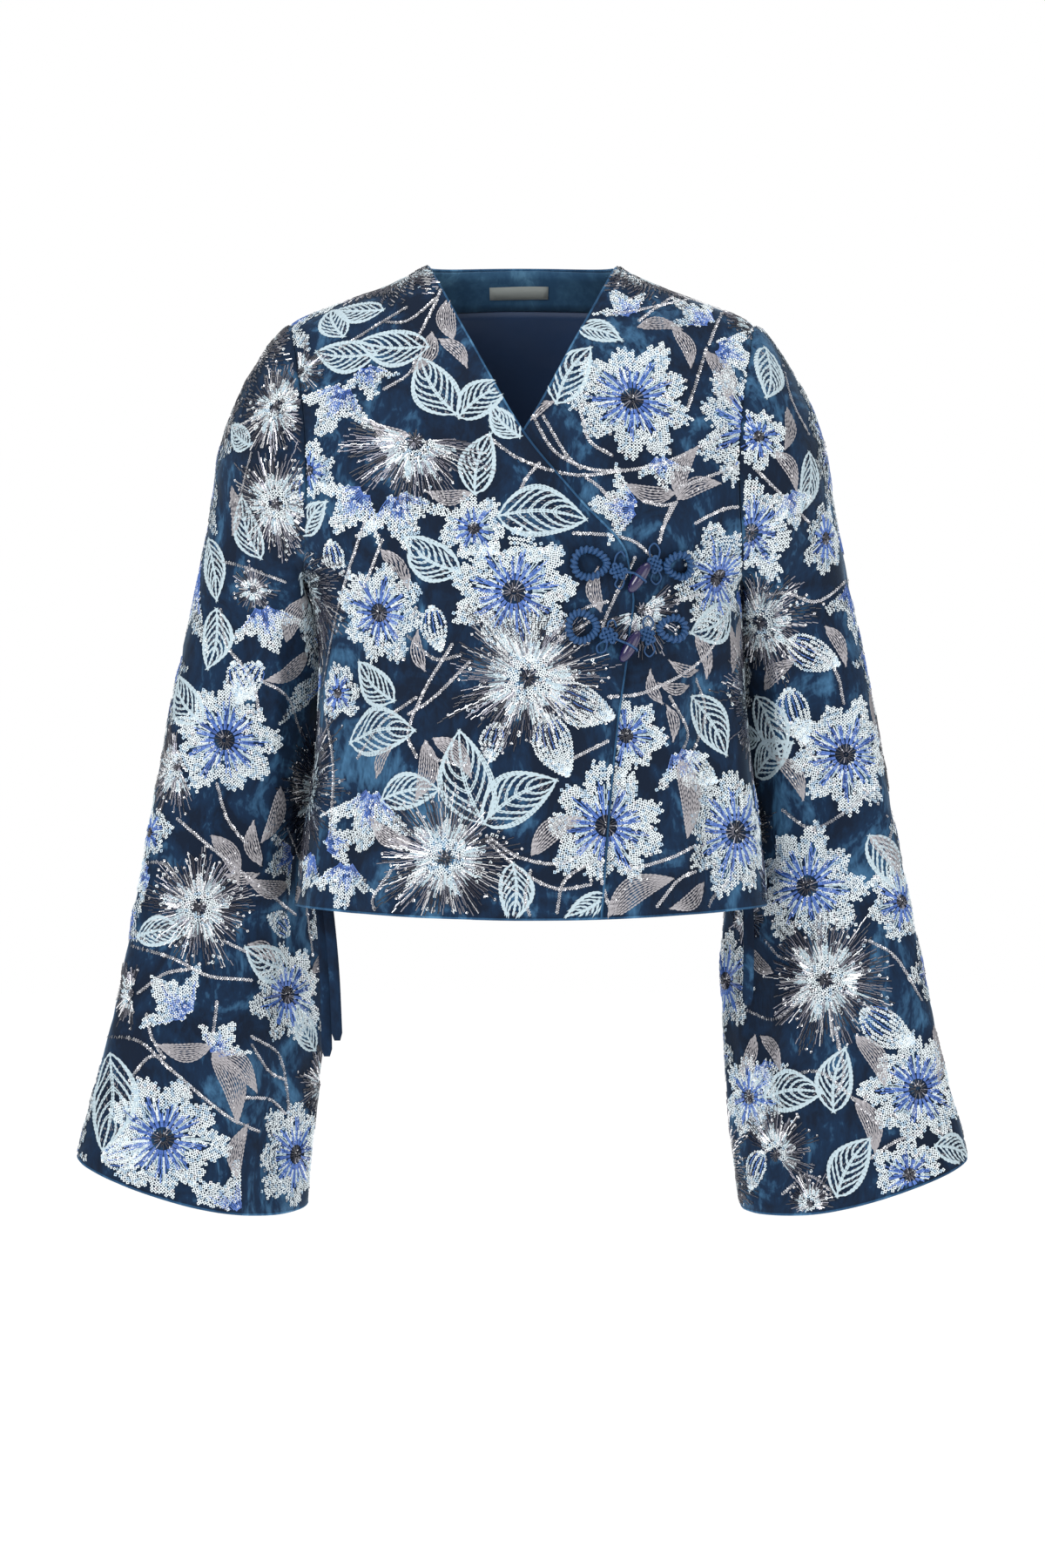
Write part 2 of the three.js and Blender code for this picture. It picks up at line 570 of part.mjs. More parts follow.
// The thin cord that holds the toggle: from its knot, over the toggle's waist and down behind it.
function buttonLoop({ loopKnot, toggle }) {
  const { middle, across, normal } = toggleSeat(toggle);
  const radius = TOGGLE.radius + CORD_LOOP_RADIUS + SEAM_GAP;
  const around = [175, 140, 105, 70, 35, 0, -20].map((degrees) =>
    middle
      .clone()
      .addScaledVector(across, radius * Math.cos(radians(degrees)))
      .addScaledVector(normal, radius * Math.sin(radians(degrees))),
  );
  const start = onFront(loopKnot.x, loopKnot.z);
  start.point.addScaledVector(normal, KNOT.thick / 2 + SEAT_GAP);
  const towards = around[0].clone().sub(start.point).normalize();
  start.point.addScaledVector(towards, KNOT.across / 2 + SEAM_GAP);
  const section = new THREE.Shape().absarc(0, 0, CORD_LOOP_RADIUS, 0, 2 * Math.PI);
  return new THREE.ExtrudeGeometry(section, {
    steps: 16,
    curveSegments: 8,
    bevelEnabled: false,
    extrudePath: new THREE.CatmullRomCurve3([start.point, ...around]),
  });
}

// A tie: a flat strap with a rounded end, sewn in the side seam and hanging below the hem.
function tie({ side, y, points }) {
  const sewnX = halfWidthAt(TIE.sewnZ) - TIE.sewnIn;
  const route = [{ x: sewnX + side * swayAt(TIE.sewnZ), z: TIE.sewnZ }, ...points];
  const middle = new THREE.CatmullRomCurve3(route.map(({ x, z }) => new THREE.Vector3(side * x, y, z)));
  const at = (across, along) => {
    const point = middle.getPoint(along);
    const narrow = along === 1 ? 0.55 : 1;
    point.x += (across - 0.5) * TIE.width * narrow;
    point.y -= TIE.thick / 2;
    return { point, normal: new THREE.Vector3(0, -1, 0) };
  };
  return wall(gridOf(2, GRID.tie.along, at), TIE.thick);
}

const backPoints = backGrid();
const facingRow = GRID.back.up - FACING_ROWS;
add("back", wall(backPoints, CLOTH), "velvet");
const fronts = [
  add("front_right", frontPanel(-1, OVER_EDGE, overlapLift), "velvet"),
  add("front_left", frontPanel(1, UNDER_EDGE, () => 0), "velvet"),
];
add("sleeve_right", sleeve(-1), "velvet");
add("sleeve_left", sleeve(1), "velvet");
add("neck_facing", insideBack(backPoints, FACING_SIDE, facingRow, GRID.back.up, FACING), "velvet");
const liningTop = facingRow - LINING_TOP;
add("back_lining", insideBack(backPoints, LINING_SIDE, LINING_HEM, liningTop, LINING), "lining");
add("neck_label", neckLabel(), "label");
for (const frog of FROGS) {
  add(`frog_${frog.name}_loop_ring`, cordRing(frog.loopRing, 1), "cord");
  add(`frog_${frog.name}_toggle_ring`, cordRing(frog.toggleRing, -1), "cord");
  add(`frog_${frog.name}_button_loop`, buttonLoop(frog), "cord");
  knot(`frog_${frog.name}_loop_knot`, frog.loopKnot);
  knot(`frog_${frog.name}_toggle_knot`, frog.toggleKnot);
  toggleButton(`frog_${frog.name}_toggle`, frog.toggle);
}
for (const strap of TIES) add(strap.name, tie(strap), "velvet");

for (const mesh of jacket.children) {
  for (const name of ["uv", "normal"]) mesh.geometry.deleteAttribute(name);
  mesh.geometry = mergeVertices(mesh.geometry, 1e-4);
  mesh.geometry.computeVertexNormals();
}

export default jacket;
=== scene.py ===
"""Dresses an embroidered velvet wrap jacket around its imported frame, for Blender 4.5.

Sizes are in millimetres until a mesh is made. +X is the wearer's left, the front faces -Y, and +Z is up.
The origin is the middle of the neck opening, level with the inner ends of the shoulder seams.
"""

from __future__ import annotations

import logging
import math
from dataclasses import dataclass, field
from enum import Enum
from typing import Callable, Sequence

import bmesh
import bpy
import numpy as np
from mathutils import Matrix, Vector

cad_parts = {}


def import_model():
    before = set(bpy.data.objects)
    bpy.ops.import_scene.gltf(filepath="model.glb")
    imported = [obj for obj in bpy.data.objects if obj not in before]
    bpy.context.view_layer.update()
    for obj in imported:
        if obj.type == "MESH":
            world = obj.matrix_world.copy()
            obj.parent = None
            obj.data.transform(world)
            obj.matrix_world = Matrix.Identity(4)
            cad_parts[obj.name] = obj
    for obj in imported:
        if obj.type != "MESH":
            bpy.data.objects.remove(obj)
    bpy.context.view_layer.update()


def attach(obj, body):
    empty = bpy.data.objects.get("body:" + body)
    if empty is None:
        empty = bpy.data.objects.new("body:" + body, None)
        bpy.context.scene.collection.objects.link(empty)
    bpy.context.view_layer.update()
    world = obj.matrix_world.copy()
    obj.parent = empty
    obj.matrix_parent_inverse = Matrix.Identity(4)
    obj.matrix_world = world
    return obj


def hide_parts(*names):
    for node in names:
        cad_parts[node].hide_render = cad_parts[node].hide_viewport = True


LOG = logging.getLogger("velvet_jacket")
MM = 0.001
BODY = "root"
Array = np.ndarray
Rng = np.random.Generator
Object, Mesh, Material = bpy.types.Object, bpy.types.Mesh, bpy.types.Material
Pair = tuple[float, float]
Quad = tuple[float, float, float, float]
Colour = tuple[float, float, float]

# The photograph's frame: millimetres to a pixel, the pixel of the origin and the camera's place.
PIXEL = 0.70
ORIGIN_PIXEL = (601.0, 307.0)
CAMERA_DISTANCE = 5000.0
CAMERA_HEIGHT = -415.0
FRAME_HEIGHT = 1260.0

# The cloth's walls and the body's landmarks, in millimetres.
CLOTH = 2.0
SEAM_GAP = 0.3
HEM_Z = -521.0
UNDERARM_Z = -255.0
SHOULDER_TIP_Z = -47.0
NECK_HALF_WIDTH = 76.0
ROUNDNESS = 2.3

COLOUR, SCALAR = "NodeSocketColor", "NodeSocketFloat"
BLACK, WHITE = (0.0, 0.0, 0.0, 1.0), (1.0, 1.0, 1.0, 1.0)


class Finish(Enum):
    """Names of the finishes that pieces are made in."""

    VELVET = "velvet"
    LINING = "lining"
    LABEL = "label"
    CORD = "cord"
    TOGGLE = "toggle"
    FACING = "facing"
    EDGE = "edge"
    SEQUIN_WHITE = "sequin_white"
    SEQUIN_PALE = "sequin_pale"
    SEQUIN_SILVER = "sequin_silver"
    BEAD_PEWTER = "bead_pewter"
    BEAD_BLACK = "bead_black"
    BUGLE_BLUE = "bugle_blue"
    BUGLE_DEEP = "bugle_deep"
    THREAD_WHITE = "thread_white"
    THREAD_GREY = "thread_grey"
    STEM_SILVER = "stem_silver"


def lerp(a: Array | float, b: Array | float, share: Array | float) -> Array | float:
    """Returns the mix of a and b at a share of one."""
    return a + (b - a) * share


def smooth(x: Array | float, low: float, high: float) -> Array:
    """Returns 0 below low, 1 above high and an S curve between them."""
    share = np.clip((np.asarray(x, float) - low) / (high - low), 0.0, 1.0)
    return share * share * (3.0 - 2.0 * share)


def unit(vectors: Array) -> Array:
    """Returns the vectors of the last axis at length one."""
    return vectors / np.maximum(np.linalg.norm(vectors, axis=-1, keepdims=True), 1e-12)


class Curve:
    """A smooth function through one column of a table, with no overshoot between its rows."""

    def __init__(self, at: Sequence[float], value: Sequence[float]) -> None:
        """Sorts the rows and works out the slope at each.

        Args:
            at: where each row stands.
            value: the function's value there.
        """
        order = np.argsort(at)
        self.at = np.asarray(at, float)[order]
        self.value = np.asarray(value, float)[order]
        span = np.diff(self.at)
        secant = np.diff(self.value) / span
        self.slope = np.zeros_like(self.at)
        self.slope[0], self.slope[-1] = secant[0], secant[-1]
        before, after = span[:-1], span[1:]
        rising = secant[:-1] * secant[1:] > 0
        first = np.where(rising, secant[:-1], 1.0)
        second = np.where(rising, secant[1:], 1.0)
        mean = 3 * (before + after) / ((2 * after + before) / first + (after + 2 * before) / second)
        self.slope[1:-1] = np.where(rising, mean, 0.0)

    def __call__(self, x: Array | float) -> Array:
        """Returns the function's value at x, held at its ends."""
        x = np.clip(np.asarray(x, float), self.at[0], self.at[-1])
        i = np.clip(np.searchsorted(self.at, x, side="right") - 1, 0, len(self.at) - 2)
        span = self.at[i + 1] - self.at[i]
        u = (x - self.at[i]) / span
        return (
            self.value[i] * (1 + 2 * u) * (1 - u) ** 2
            + self.slope[i] * span * u * (1 - u) ** 2
            + self.value[i + 1] * u * u * (3 - 2 * u)
            + self.slope[i + 1] * span * u * u * (u - 1)
        )

    def rate(self, x: Array | float) -> Array:
        """Returns the function's slope at x, over one millimetre."""
        return self(np.asarray(x) + 0.5) - self(np.asarray(x) - 0.5)


@dataclass(frozen=True)
class Fold:
    """A ridge or, with a depth below 0, a trough that runs down the body and leans sideways."""

    x: float
    top: float
    lean: float
    width: float
    depth: float
    bottom: float = HEM_Z - 4.0

    def height(self, x: Array, z: Array) -> Array:
        """Returns how far the fold lifts the surface at x and z."""
        down = (self.top - z) / (self.top - self.bottom)
        off = (x - self.x - self.lean * down) / self.width
        return self.depth * np.exp(-off * off) * smooth(down, 0.0, 0.45) * (down > 0)


FRONT_FOLDS = (
    Fold(-152, -225, -16, 9, 5), Fold(-133, -240, -12, 8, -4), Fold(-104, -300, -12, 14, 3.5),
    Fold(-34, -330, -8, 17, 2.5), Fold(24, -350, 2, 15, -2.5), Fold(104, -280, 12, 13, 3.5),
    Fold(128, -262, 18, 9, -4), Fold(149, -235, 24, 9, 4.5),
)
BACK_FOLDS = (
    Fold(-148, -215, -18, 10, 5), Fold(-124, -230, -14, 9, -4), Fold(-78, -290, -12, 17, 4),
    Fold(-8, -310, 4, 19, 3), Fold(60, -270, 12, 16, 3.5), Fold(118, -240, 16, 10, -4),
    Fold(146, -220, 18, 10, 5),
)


def soft_ripples(points: Array, amount: float, seed: int = 3) -> Array:
    """Returns small soft waves of a cloth surface.

    Args:
        points: places in millimetres, the last axis x, y and z.
        amount: about how high the waves are.
        seed: which set of waves.

    Returns:
        One height for each point.
    """
    rng = np.random.default_rng(seed)
    total = np.zeros(points.shape[:-1])
    for length in (95.0, 61.0, 43.0, 29.0, 21.0):
        lean = rng.normal(size=3) * (1.0, 1.0, 0.55)
        wave = unit(lean) * 2 * math.pi / length
        bend = unit(rng.normal(size=3)) * 2 * math.pi / (2.7 * length)
        phase = rng.uniform(0, 2 * math.pi, 2)
        total += length * np.sin(points @ wave + phase[0] + 1.6 * np.sin(points @ bend + phase[1]))
    return amount * total / 95.0


@dataclass
class BodyForm:
    """The surface that the fronts and the back follow, in sections from the hem to the neck."""

    columns: tuple[str, ...] = ("z", "half_width", "front", "back", "middle", "sway")
    levels: tuple[tuple[float, ...], ...] = (
        (-521, 189, 106, 96, -22, 7), (-450, 181, 104, 92, -20, 8), (-390, 172, 107, 92, -17, 8.5),
        (-330, 169, 115, 94, -10, 8), (-275, 171, 123, 99, -4, 4), (-255, 175, 126, 100, -2, 0),
        (-238, 192, 127, 102, -1, 0), (-215, 214, 127, 104, 0, 0), (-180, 230, 124, 107, 0, 0),
        (-135, 233, 116, 108, 0, 0), (-107, 227, 107, 105, 0, 0), (-79, 214, 95, 98, 0, 0),
        (-58, 199, 84, 90, 0, 0), (-44, 180, 76, 84, 0, 0), (-30, 146, 68, 77, 0, 0),
        (-16, 109, 60, 69, 0, 0), (-7, 89, 54, 63, 0, 0), (0, 76, 48, 58, 0, 0),
    )
    hem_side_lift: float = 10.0
    armhole_bow: float = 9.0
    curve: dict[str, Curve] = field(default_factory=dict)

    def __post_init__(self) -> None:
        """Draws a curve through each column of the levels."""
        table = np.array(self.levels)
        for k, name in enumerate(self.columns[1:], start=1):
            self.curve[name] = Curve(table[:, 0], table[:, k])

    def surface(self, x: Array, z: Array, face: int, lift: Array | float = 0.0) -> tuple[Array, Array]:
        """Works out points of the body's surface.

        Args:
            x: distances from the section's own centre.
            z: heights.
            face: -1 in front and 1 behind.
            lift: distance out from the surface.

        Returns:
            The points and their outward normals.
        """
        x, z = np.broadcast_arrays(np.asarray(x, float), np.asarray(z, float))
        level = np.minimum(z, 0.0)
        width = self.curve["half_width"](level)
        depth_curve = self.curve["front" if face < 0 else "back"]
        depth = depth_curve(level)
        share = np.minimum(np.abs(x) / width, 1.0)
        across = share**ROUNDNESS
        out = depth * (1 - across) ** (1 / ROUNDNESS)
        normal_x = np.sign(x) * share ** (ROUNDNESS - 1) / width
        normal_y = face * (out / depth) ** (ROUNDNESS - 1) / depth
        slant = across * self.curve["half_width"].rate(level) / width
        slant = slant + (out / depth) ** ROUNDNESS * depth_curve.rate(level) / depth
        slant = slant + normal_y * self.curve["middle"].rate(level)
        normal = unit(np.stack([normal_x, normal_y, np.where(z > 0, 0.0, -slant)], axis=-1))
        middle = self.curve["middle"](level) + face * (out + SEAM_GAP / 2)
        point = np.stack([x + self.curve["sway"](level), middle, z], axis=-1)
        folds = FRONT_FOLDS if face < 0 else BACK_FOLDS
        raised = lift + sum(fold.height(x, z) for fold in folds)
        return point + normal * np.asarray(raised)[..., None], normal

    def shoulder_z(self, x: Array) -> Array:
        """Returns the height at which the shoulder seam passes x."""
        z = np.linspace(0.0, SHOULDER_TIP_Z, 200)
        return np.interp(x, self.curve["half_width"](z), z)

    def side_x(self, z: Array) -> Array:
        """Returns how far out the side seam, or the armhole above it, stands at z."""
        width = self.curve["half_width"]
        share = np.clip((np.asarray(z) - UNDERARM_Z) / (SHOULDER_TIP_Z - UNDERARM_Z), 0.0, 1.0)
        chord = lerp(width(UNDERARM_Z), width(SHOULDER_TIP_Z), share)
        armhole = chord - self.armhole_bow * np.sin(math.pi * share)
        return np.where(np.asarray(z) <= UNDERARM_Z, width(z), armhole)

    def angle_at(self, x: Array, z: Array) -> Array:
        """Returns the angle round a section at which it is a distance x from the middle."""
        share = np.clip(x / self.curve["half_width"](z), -1.0, 1.0)
        return np.arccos(np.sign(share) * np.abs(share) ** (ROUNDNESS / 2))

    def across_at(self, angle: Array, z: Array) -> Array:
        """Returns the distance from the middle at an angle round a section."""
        cosine = np.cos(angle)
        return self.curve["half_width"](z) * np.sign(cosine) * np.abs(cosine) ** (2 / ROUNDNESS)

    def hem_lift(self, x: Array, up: float) -> Array:
        """Returns how much higher the rows of a panel run towards the side seams."""
        return self.hem_side_lift * (x / self.curve["half_width"](HEM_Z)) ** 2 * (1 - up)


Row = Callable[[float], tuple[Array, Array]]


class Chart:
    """A cloth surface as an even grid of points, with places on it given as shares across and up."""

    strides: int = 5

    def __init__(self, row: Row, spacing: float, ripple: float, closed: bool = False) -> None:
        """Lays the grid out with even steps both ways.

        Args:
            row: gives the points and outward normals of one row, 0 at the hem and 1 at the top.
            spacing: about how far apart the grid's lines are.
            ripple: how high the small soft waves are.
            closed: whether each row is a ring.
        """
        self.closed = closed
        ups = np.linspace(0.0, 1.0, 240)
        ends = row(0.5)[0]
        middle = np.array([row(u)[0][len(ends) // 2] for u in ups])
        steps = np.linalg.norm(np.diff(middle, axis=0), axis=1)
        length = np.concatenate([[0.0], np.cumsum(steps)])
        self.rows = max(int(round(length[-1] / spacing)), 2)
        wanted = np.interp(np.linspace(0.0, length[-1], self.rows + 1), length, ups)
        widths = [np.linalg.norm(np.diff(row(u)[0], axis=0), axis=1).sum() for u in (0.0, 0.5, 0.9)]
        self.columns = max(int(round(max(widths) / spacing)), 2)
        points, normals = [], []
        for up in wanted:
            p, n = row(up)
            run = np.concatenate([[0.0], np.cumsum(np.linalg.norm(np.diff(p, axis=0), axis=1))])
            even = np.linspace(0.0, run[-1], self.columns + 1)
            points.append(np.stack([np.interp(even, run, p[:, k]) for k in range(3)], axis=-1))
            normals.append(np.stack([np.interp(even, run, n[:, k]) for k in range(3)], axis=-1))
        self.points = np.swapaxes(np.array(points), 0, 1)
        rough = unit(np.swapaxes(np.array(normals), 0, 1))
        self.points = self.points + rough * soft_ripples(self.points, ripple)[..., None]
        if closed:
            self.points[-1] = self.points[0]
        self.across, self.rise = self.tangents()
        normal = unit(np.cross(self.across, self.rise))
        self.normals = normal * np.sign(np.sum(normal * rough, axis=-1, keepdims=True))

    def tangents(self) -> tuple[Array, Array]:
        """Returns how a point moves for a whole share across and a whole share up."""
        if self.closed:
            ring = np.concatenate([self.points[-2:-1], self.points, self.points[1:2]])
            across = (ring[2:] - ring[:-2]) * self.columns / 2
        else:
            across = np.gradient(self.points, axis=0) * self.columns
        return across, np.gradient(self.points, axis=1) * self.rows

    def look_up(self, values: Array, s: Array, t: Array) -> Array:
        """Returns a grid's value at shares across and up, between its four nearest nodes."""
        s = np.mod(s, 1.0) if self.closed else np.clip(s, 0.0, 1.0)
        i = np.clip((s * self.columns).astype(int), 0, self.columns - 1)
        j = np.clip((np.clip(t, 0.0, 1.0) * self.rows).astype(int), 0, self.rows - 1)
        a = (s * self.columns - i)[..., None]
        b = (np.clip(t, 0.0, 1.0) * self.rows - j)[..., None]
        low = values[i, j] * (1 - a) + values[i + 1, j] * a
        high = values[i, j + 1] * (1 - a) + values[i + 1, j + 1] * a
        return low * (1 - b) + high * b

    def axes(self, s: Array, t: Array) -> tuple[Array, Array, Array, Array]:
        """Returns point, normal, and the viewer's right and up along the cloth."""
        normal = unit(self.look_up(self.normals, s, t))
        right = unit(np.cross(np.broadcast_to((0.0, 0.0, 1.0), normal.shape), normal))
        return self.look_up(self.points, s, t), normal, right, np.cross(normal, right)

    def inside(self, s: Array, t: Array) -> Array:
        """Returns which places lie on the cloth."""
        ok = (t >= 0.004) & (t <= 0.996)
        return ok if self.closed else ok & (s >= 0.004) & (s <= 0.996)

    def locate(
        self, x: Array, z: Array, behind: bool, distance: float = CAMERA_DISTANCE
    ) -> tuple[Array, Array]:
        """Finds the places that a viewer sees at x and z.

        Args:
            x: distances to the viewer's right of the middle.
            z: heights.
            behind: whether the viewer stands behind the jacket, and not where the camera is.
            distance: how far away the viewer stands.

        Returns:
            Shares across and up, which run on outside 0 to 1 beside the cloth.
        """
        side = -1.0 if behind else 1.0
        near = distance / (distance + side * self.points[..., 1])
        seen_x = side * self.points[..., 0] * near
        seen_z = (self.points[..., 2] - CAMERA_HEIGHT) * near + CAMERA_HEIGHT
        facing = side * self.normals[..., 1] < 0.25
        flat_x, flat_z = seen_x[facing], seen_z[facing]
        nodes = np.argwhere(facing)
        gap = (flat_x[None] - x[:, None]) ** 2 + (flat_z[None] - z[:, None]) ** 2
        nearest = nodes[np.argmin(gap, axis=1)]
        grid = np.stack([seen_x, seen_z], axis=-1)
        by_s = np.gradient(grid, axis=0) * self.columns
        by_t = np.gradient(grid, axis=1) * self.rows
        s, t = nearest[:, 0] / self.columns, nearest[:, 1] / self.rows
        for _ in range(4):
            here = self.look_up(grid, s, t)
            ds, dt = self.look_up(by_s, s, t), self.look_up(by_t, s, t)
            base_s = s if self.closed else np.clip(s, 0.0, 1.0)
            here = here + ds * (s - base_s)[:, None] + dt * (t - np.clip(t, 0.0, 1.0))[:, None]
            miss = np.stack([x, z], axis=-1) - here
            det = ds[:, 0] * dt[:, 1] - ds[:, 1] * dt[:, 0]
            det = np.where(np.abs(det) < 1e3, np.sign(det + 1e-9) * 1e3, det)
            s = s + np.clip((miss[:, 0] * dt[:, 1] - miss[:, 1] * dt[:, 0]) / det, -0.08, 0.08)
            t = t + np.clip((miss[:, 1] * ds[:, 0] - miss[:, 0] * ds[:, 1]) / det, -0.08, 0.08)
        return s, t

    def spread(self, s: float, t: float, a: Array, b: Array) -> tuple[Array, Array]:
        """Carries places round a centre onto the cloth.

        Args:
            s: the centre's share across.
            t: the centre's share up.
            a: distances to the viewer's right, along the cloth.
            b: distances up, along the cloth.

        Returns:
            The places' shares across and up.
        """
        s, t = np.full(a.shape, s), np.full(a.shape, t)
        _, _, right, up = self.axes(s, t)
        way = a[:, None] * right + b[:, None] * up
        length = np.linalg.norm(way, axis=1, keepdims=True) / self.strides
        for _ in range(self.strides):
            normal = unit(self.look_up(self.normals, s, t))
            way = unit(way - normal * np.sum(way * normal, axis=1, keepdims=True))
            ds, dt = self.look_up(self.across, s, t), self.look_up(self.rise, s, t)
            ss, st, tt = np.sum(ds * ds, axis=1), np.sum(ds * dt, axis=1), np.sum(dt * dt, axis=1)
            by_s, by_t = np.sum(way * length * ds, axis=1), np.sum(way * length * dt, axis=1)
            det = np.maximum(ss * tt - st * st, 1e6)
            s = s + (by_s * tt - by_t * st) / det
            t = t + (by_t * ss - by_s * st) / det
        return s, t


OVER_EDGE = Curve(
    (0, -67, -139, -191, -237, -260, -300, -400, -521), (76, 40, 0, -43, -81, -84, -76, -62, -54)
)
UNDER_EDGE = Curve((0, -67, -139, -182, -218, -250, -521), (76, 40, 0, -34, -54, -58, -52))


@dataclass
class Panels:
    """The cloth charts of the body and sleeves, with the same shapes as the frame's panels."""

    form: BodyForm = field(default_factory=BodyForm)
    spacing: float = 6.8
    overlap_lift: float = 4.0
    sleeve_blend: float = 0.14
    sleeve_columns: tuple[str, ...] = (
        "along", "out_x", "out_y", "out_z", "in_x", "in_y", "in_z", "depth", "sway",
    )
    sleeve_rings: tuple[tuple[float, ...], ...] = (
        (0, 185, 0, -47, 175.5, 0, -254.5, 86, 0), (0.03, 199, 0, -57, 177.5, 0, -254, 86, 0),
        (0.07, 210, 0, -73, 179.5, 1, -258, 85, 0), (0.12, 225, 0, -101, 177, 7, -267, 80, 2),
        (0.18, 241, 0, -142, 173.5, 21, -282, 72, 5), (0.26, 249, 2, -197, 172.5, 37, -308, 60, 6.5),
        (0.36, 260, 3, -266, 172.5, 57, -350, 51, 7.5), (0.47, 275, 2, -346, 172, 72, -410, 48, 7),
        (0.59, 291, 0, -431, 171, 85, -480, 47, 4), (0.72, 309, -2, -521, 169, 88, -562, 49, 0),
        (0.86, 329, -4, -621, 172, 82, -652, 54, 0), (1, 354, -4, -718, 180, 76, -750, 60, 0),
    )
    # turn, start, end, drift, width, depth
    sleeve_folds: tuple[tuple[float, ...], ...] = (
        (58, 0.2, 1.2, 8, 12, 3.5), (92, 0.12, 0.8, -6, 9, -3.5), (120, 0.3, 1.3, -10, 10, 4),
        (150, 0.1, 1.1, 4, 9, -3.5), (208, 0.15, 1.2, 6, 9, -3), (246, 0.2, 1.3, 12, 11, 4),
        (292, 0.3, 1.2, -10, 12, 3.5), (326, 0.1, 0.7, 4, 10, -3),
    )

    def overlap(self, reach: Array, z: Array) -> Array:
        """Returns how far the overlapping front is lifted off the body's surface."""
        return self.overlap_lift * (1 - smooth(reach, 64, 118)) * smooth(-z, 70, 115)

    def front_row(self, side: int, edge: Curve, lifted: bool) -> Row:
        """Returns the rows of a front, from its free edge to the side seam and armhole."""
        form = self.form

        def row(up: float) -> tuple[Array, Array]:
            """Returns one row's points and normals."""
            edge_z, side_z = lerp(HEM_Z, 0.0, up), lerp(HEM_Z, SHOULDER_TIP_Z, up)
            across = np.linspace(0.0, 1.0, 161)
            first = form.angle_at(edge(edge_z), edge_z)
            last = form.angle_at(form.side_x(side_z), side_z)
            z = lerp(edge_z, side_z, across)
            reach = form.across_at(lerp(first, last, across), z)
            lift = self.overlap(reach, z) if lifted else 0.0
            return form.surface(side * reach, z + form.hem_lift(reach, up), -1, lift)

        return row

    def back_row(self, up: float) -> tuple[Array, Array]:
        """Returns one row of the back, from side seam to side seam."""
        form = self.form
        neck_share = 0.42
        tip_x = float(form.curve["half_width"](SHOULDER_TIP_Z))
        across = np.linspace(-1.0, 1.0, 321)
        share = np.abs(across)
        power = 2 / ROUNDNESS
        by_neck = NECK_HALF_WIDTH * np.sin(math.pi / 2 * np.minimum(share / neck_share, 1.0)) ** power
        by_seam = lerp(NECK_HALF_WIDTH, tip_x, (share - neck_share) / (1 - neck_share))
        top_x = np.where(share > neck_share, by_seam, by_neck)
        neck_z = 3.0 * (1 - (np.minimum(top_x, NECK_HALF_WIDTH) / NECK_HALF_WIDTH) ** 2)
        top_z = np.where(top_x > NECK_HALF_WIDTH, form.shoulder_z(top_x), neck_z)
        edge = form.side_x(lerp(HEM_Z, SHOULDER_TIP_Z, up))
        even = lerp(np.sin(math.pi / 2 * share) ** power, share, smooth(up, 0.45, 0.7))
        x = edge * lerp(even, top_x / tip_x, smooth(up, 0.6, 1.0))
        z = lerp(HEM_Z, top_z, up) + form.hem_lift(x, up)
        return form.surface(np.sign(across) * x, z, 1)

    def sleeve_form(self, side: int, turn: Array, along: float) -> Array:
        """Returns the points of a ring of the sleeve before its folds, on the wearer's left."""
        ring = {name: float(self.sleeve_curves[name](along)) for name in self.sleeve_columns[1:]}
        out = np.array([ring["out_x"], ring["out_y"], ring["out_z"]])
        inner = np.array([ring["in_x"] + side * ring["sway"], ring["in_y"], ring["in_z"]])
        major = (out - inner) / 2
        long = unit(major)
        minor = unit(np.array([0.0, 1.0, 0.0]) - long * long[1])
        power = 2 / lerp(2.0, 1.85, float(smooth(along, 0.1, 0.5)))
        cosine, sine = np.cos(turn), np.sin(turn)
        point = (out + inner) / 2 + np.outer(np.sign(cosine) * np.abs(cosine) ** power, major)
        point = point - np.outer(np.sign(sine) * np.abs(sine) ** power * ring["depth"], minor)
        point[:, 2] -= (13.0 * sine + 6.0 * sine * sine) * float(smooth(along, 0.7, 1.0))
        if along >= self.sleeve_blend:
            return point
        z = lerp(UNDERARM_Z, SHOULDER_TIP_Z, (1 + cosine) / 2)
        x = self.form.side_x(z)
        front, back = self.form.surface(x, z, -1)[0], self.form.surface(x, z, 1)[0]
        seam = np.where((sine >= 0)[:, None], front, back) + (0.5, 0.0, 0.0)
        return lerp(seam, point, float(smooth(along, 0.0, self.sleeve_blend)))

    def sleeve_row(self, side: int) -> Row:
        """Returns the rings of a sleeve, from the cuff to the armhole."""
        step = 0.004

        def row(up: float) -> tuple[Array, Array]:
            """Returns one ring's points and normals, starting beside the body."""
            along = 1.0 - up
            turn = np.linspace(-math.pi, math.pi, 361)
            down = self.sleeve_form(side, turn, min(along + step, 1.0))
            down = down - self.sleeve_form(side, turn, max(along - step, 0.0))
            around = self.sleeve_form(side, turn + step, along) - self.sleeve_form(side, turn - step, along)
            normal = unit(np.cross(around, down))
            degrees = np.degrees(np.mod(turn, 2 * math.pi))
            height = np.full_like(turn, CLOTH * float(smooth(along, 0.0, 0.06)))
            for place, start, end, drift, width, depth in self.sleeve_folds:
                if start <= along <= end:
                    share = (along - start) / (end - start)
                    off = (degrees - place - drift * share) / width
                    fade = smooth(share, 0.0, 0.3) * (1 - smooth(share, 0.7, 1.0))
                    height -= depth * np.exp(-off * off) * fade
            point = self.sleeve_form(side, turn, along) + normal * height[:, None]
            return point * (side, 1.0, 1.0), normal * (side, 1.0, 1.0)

        return row

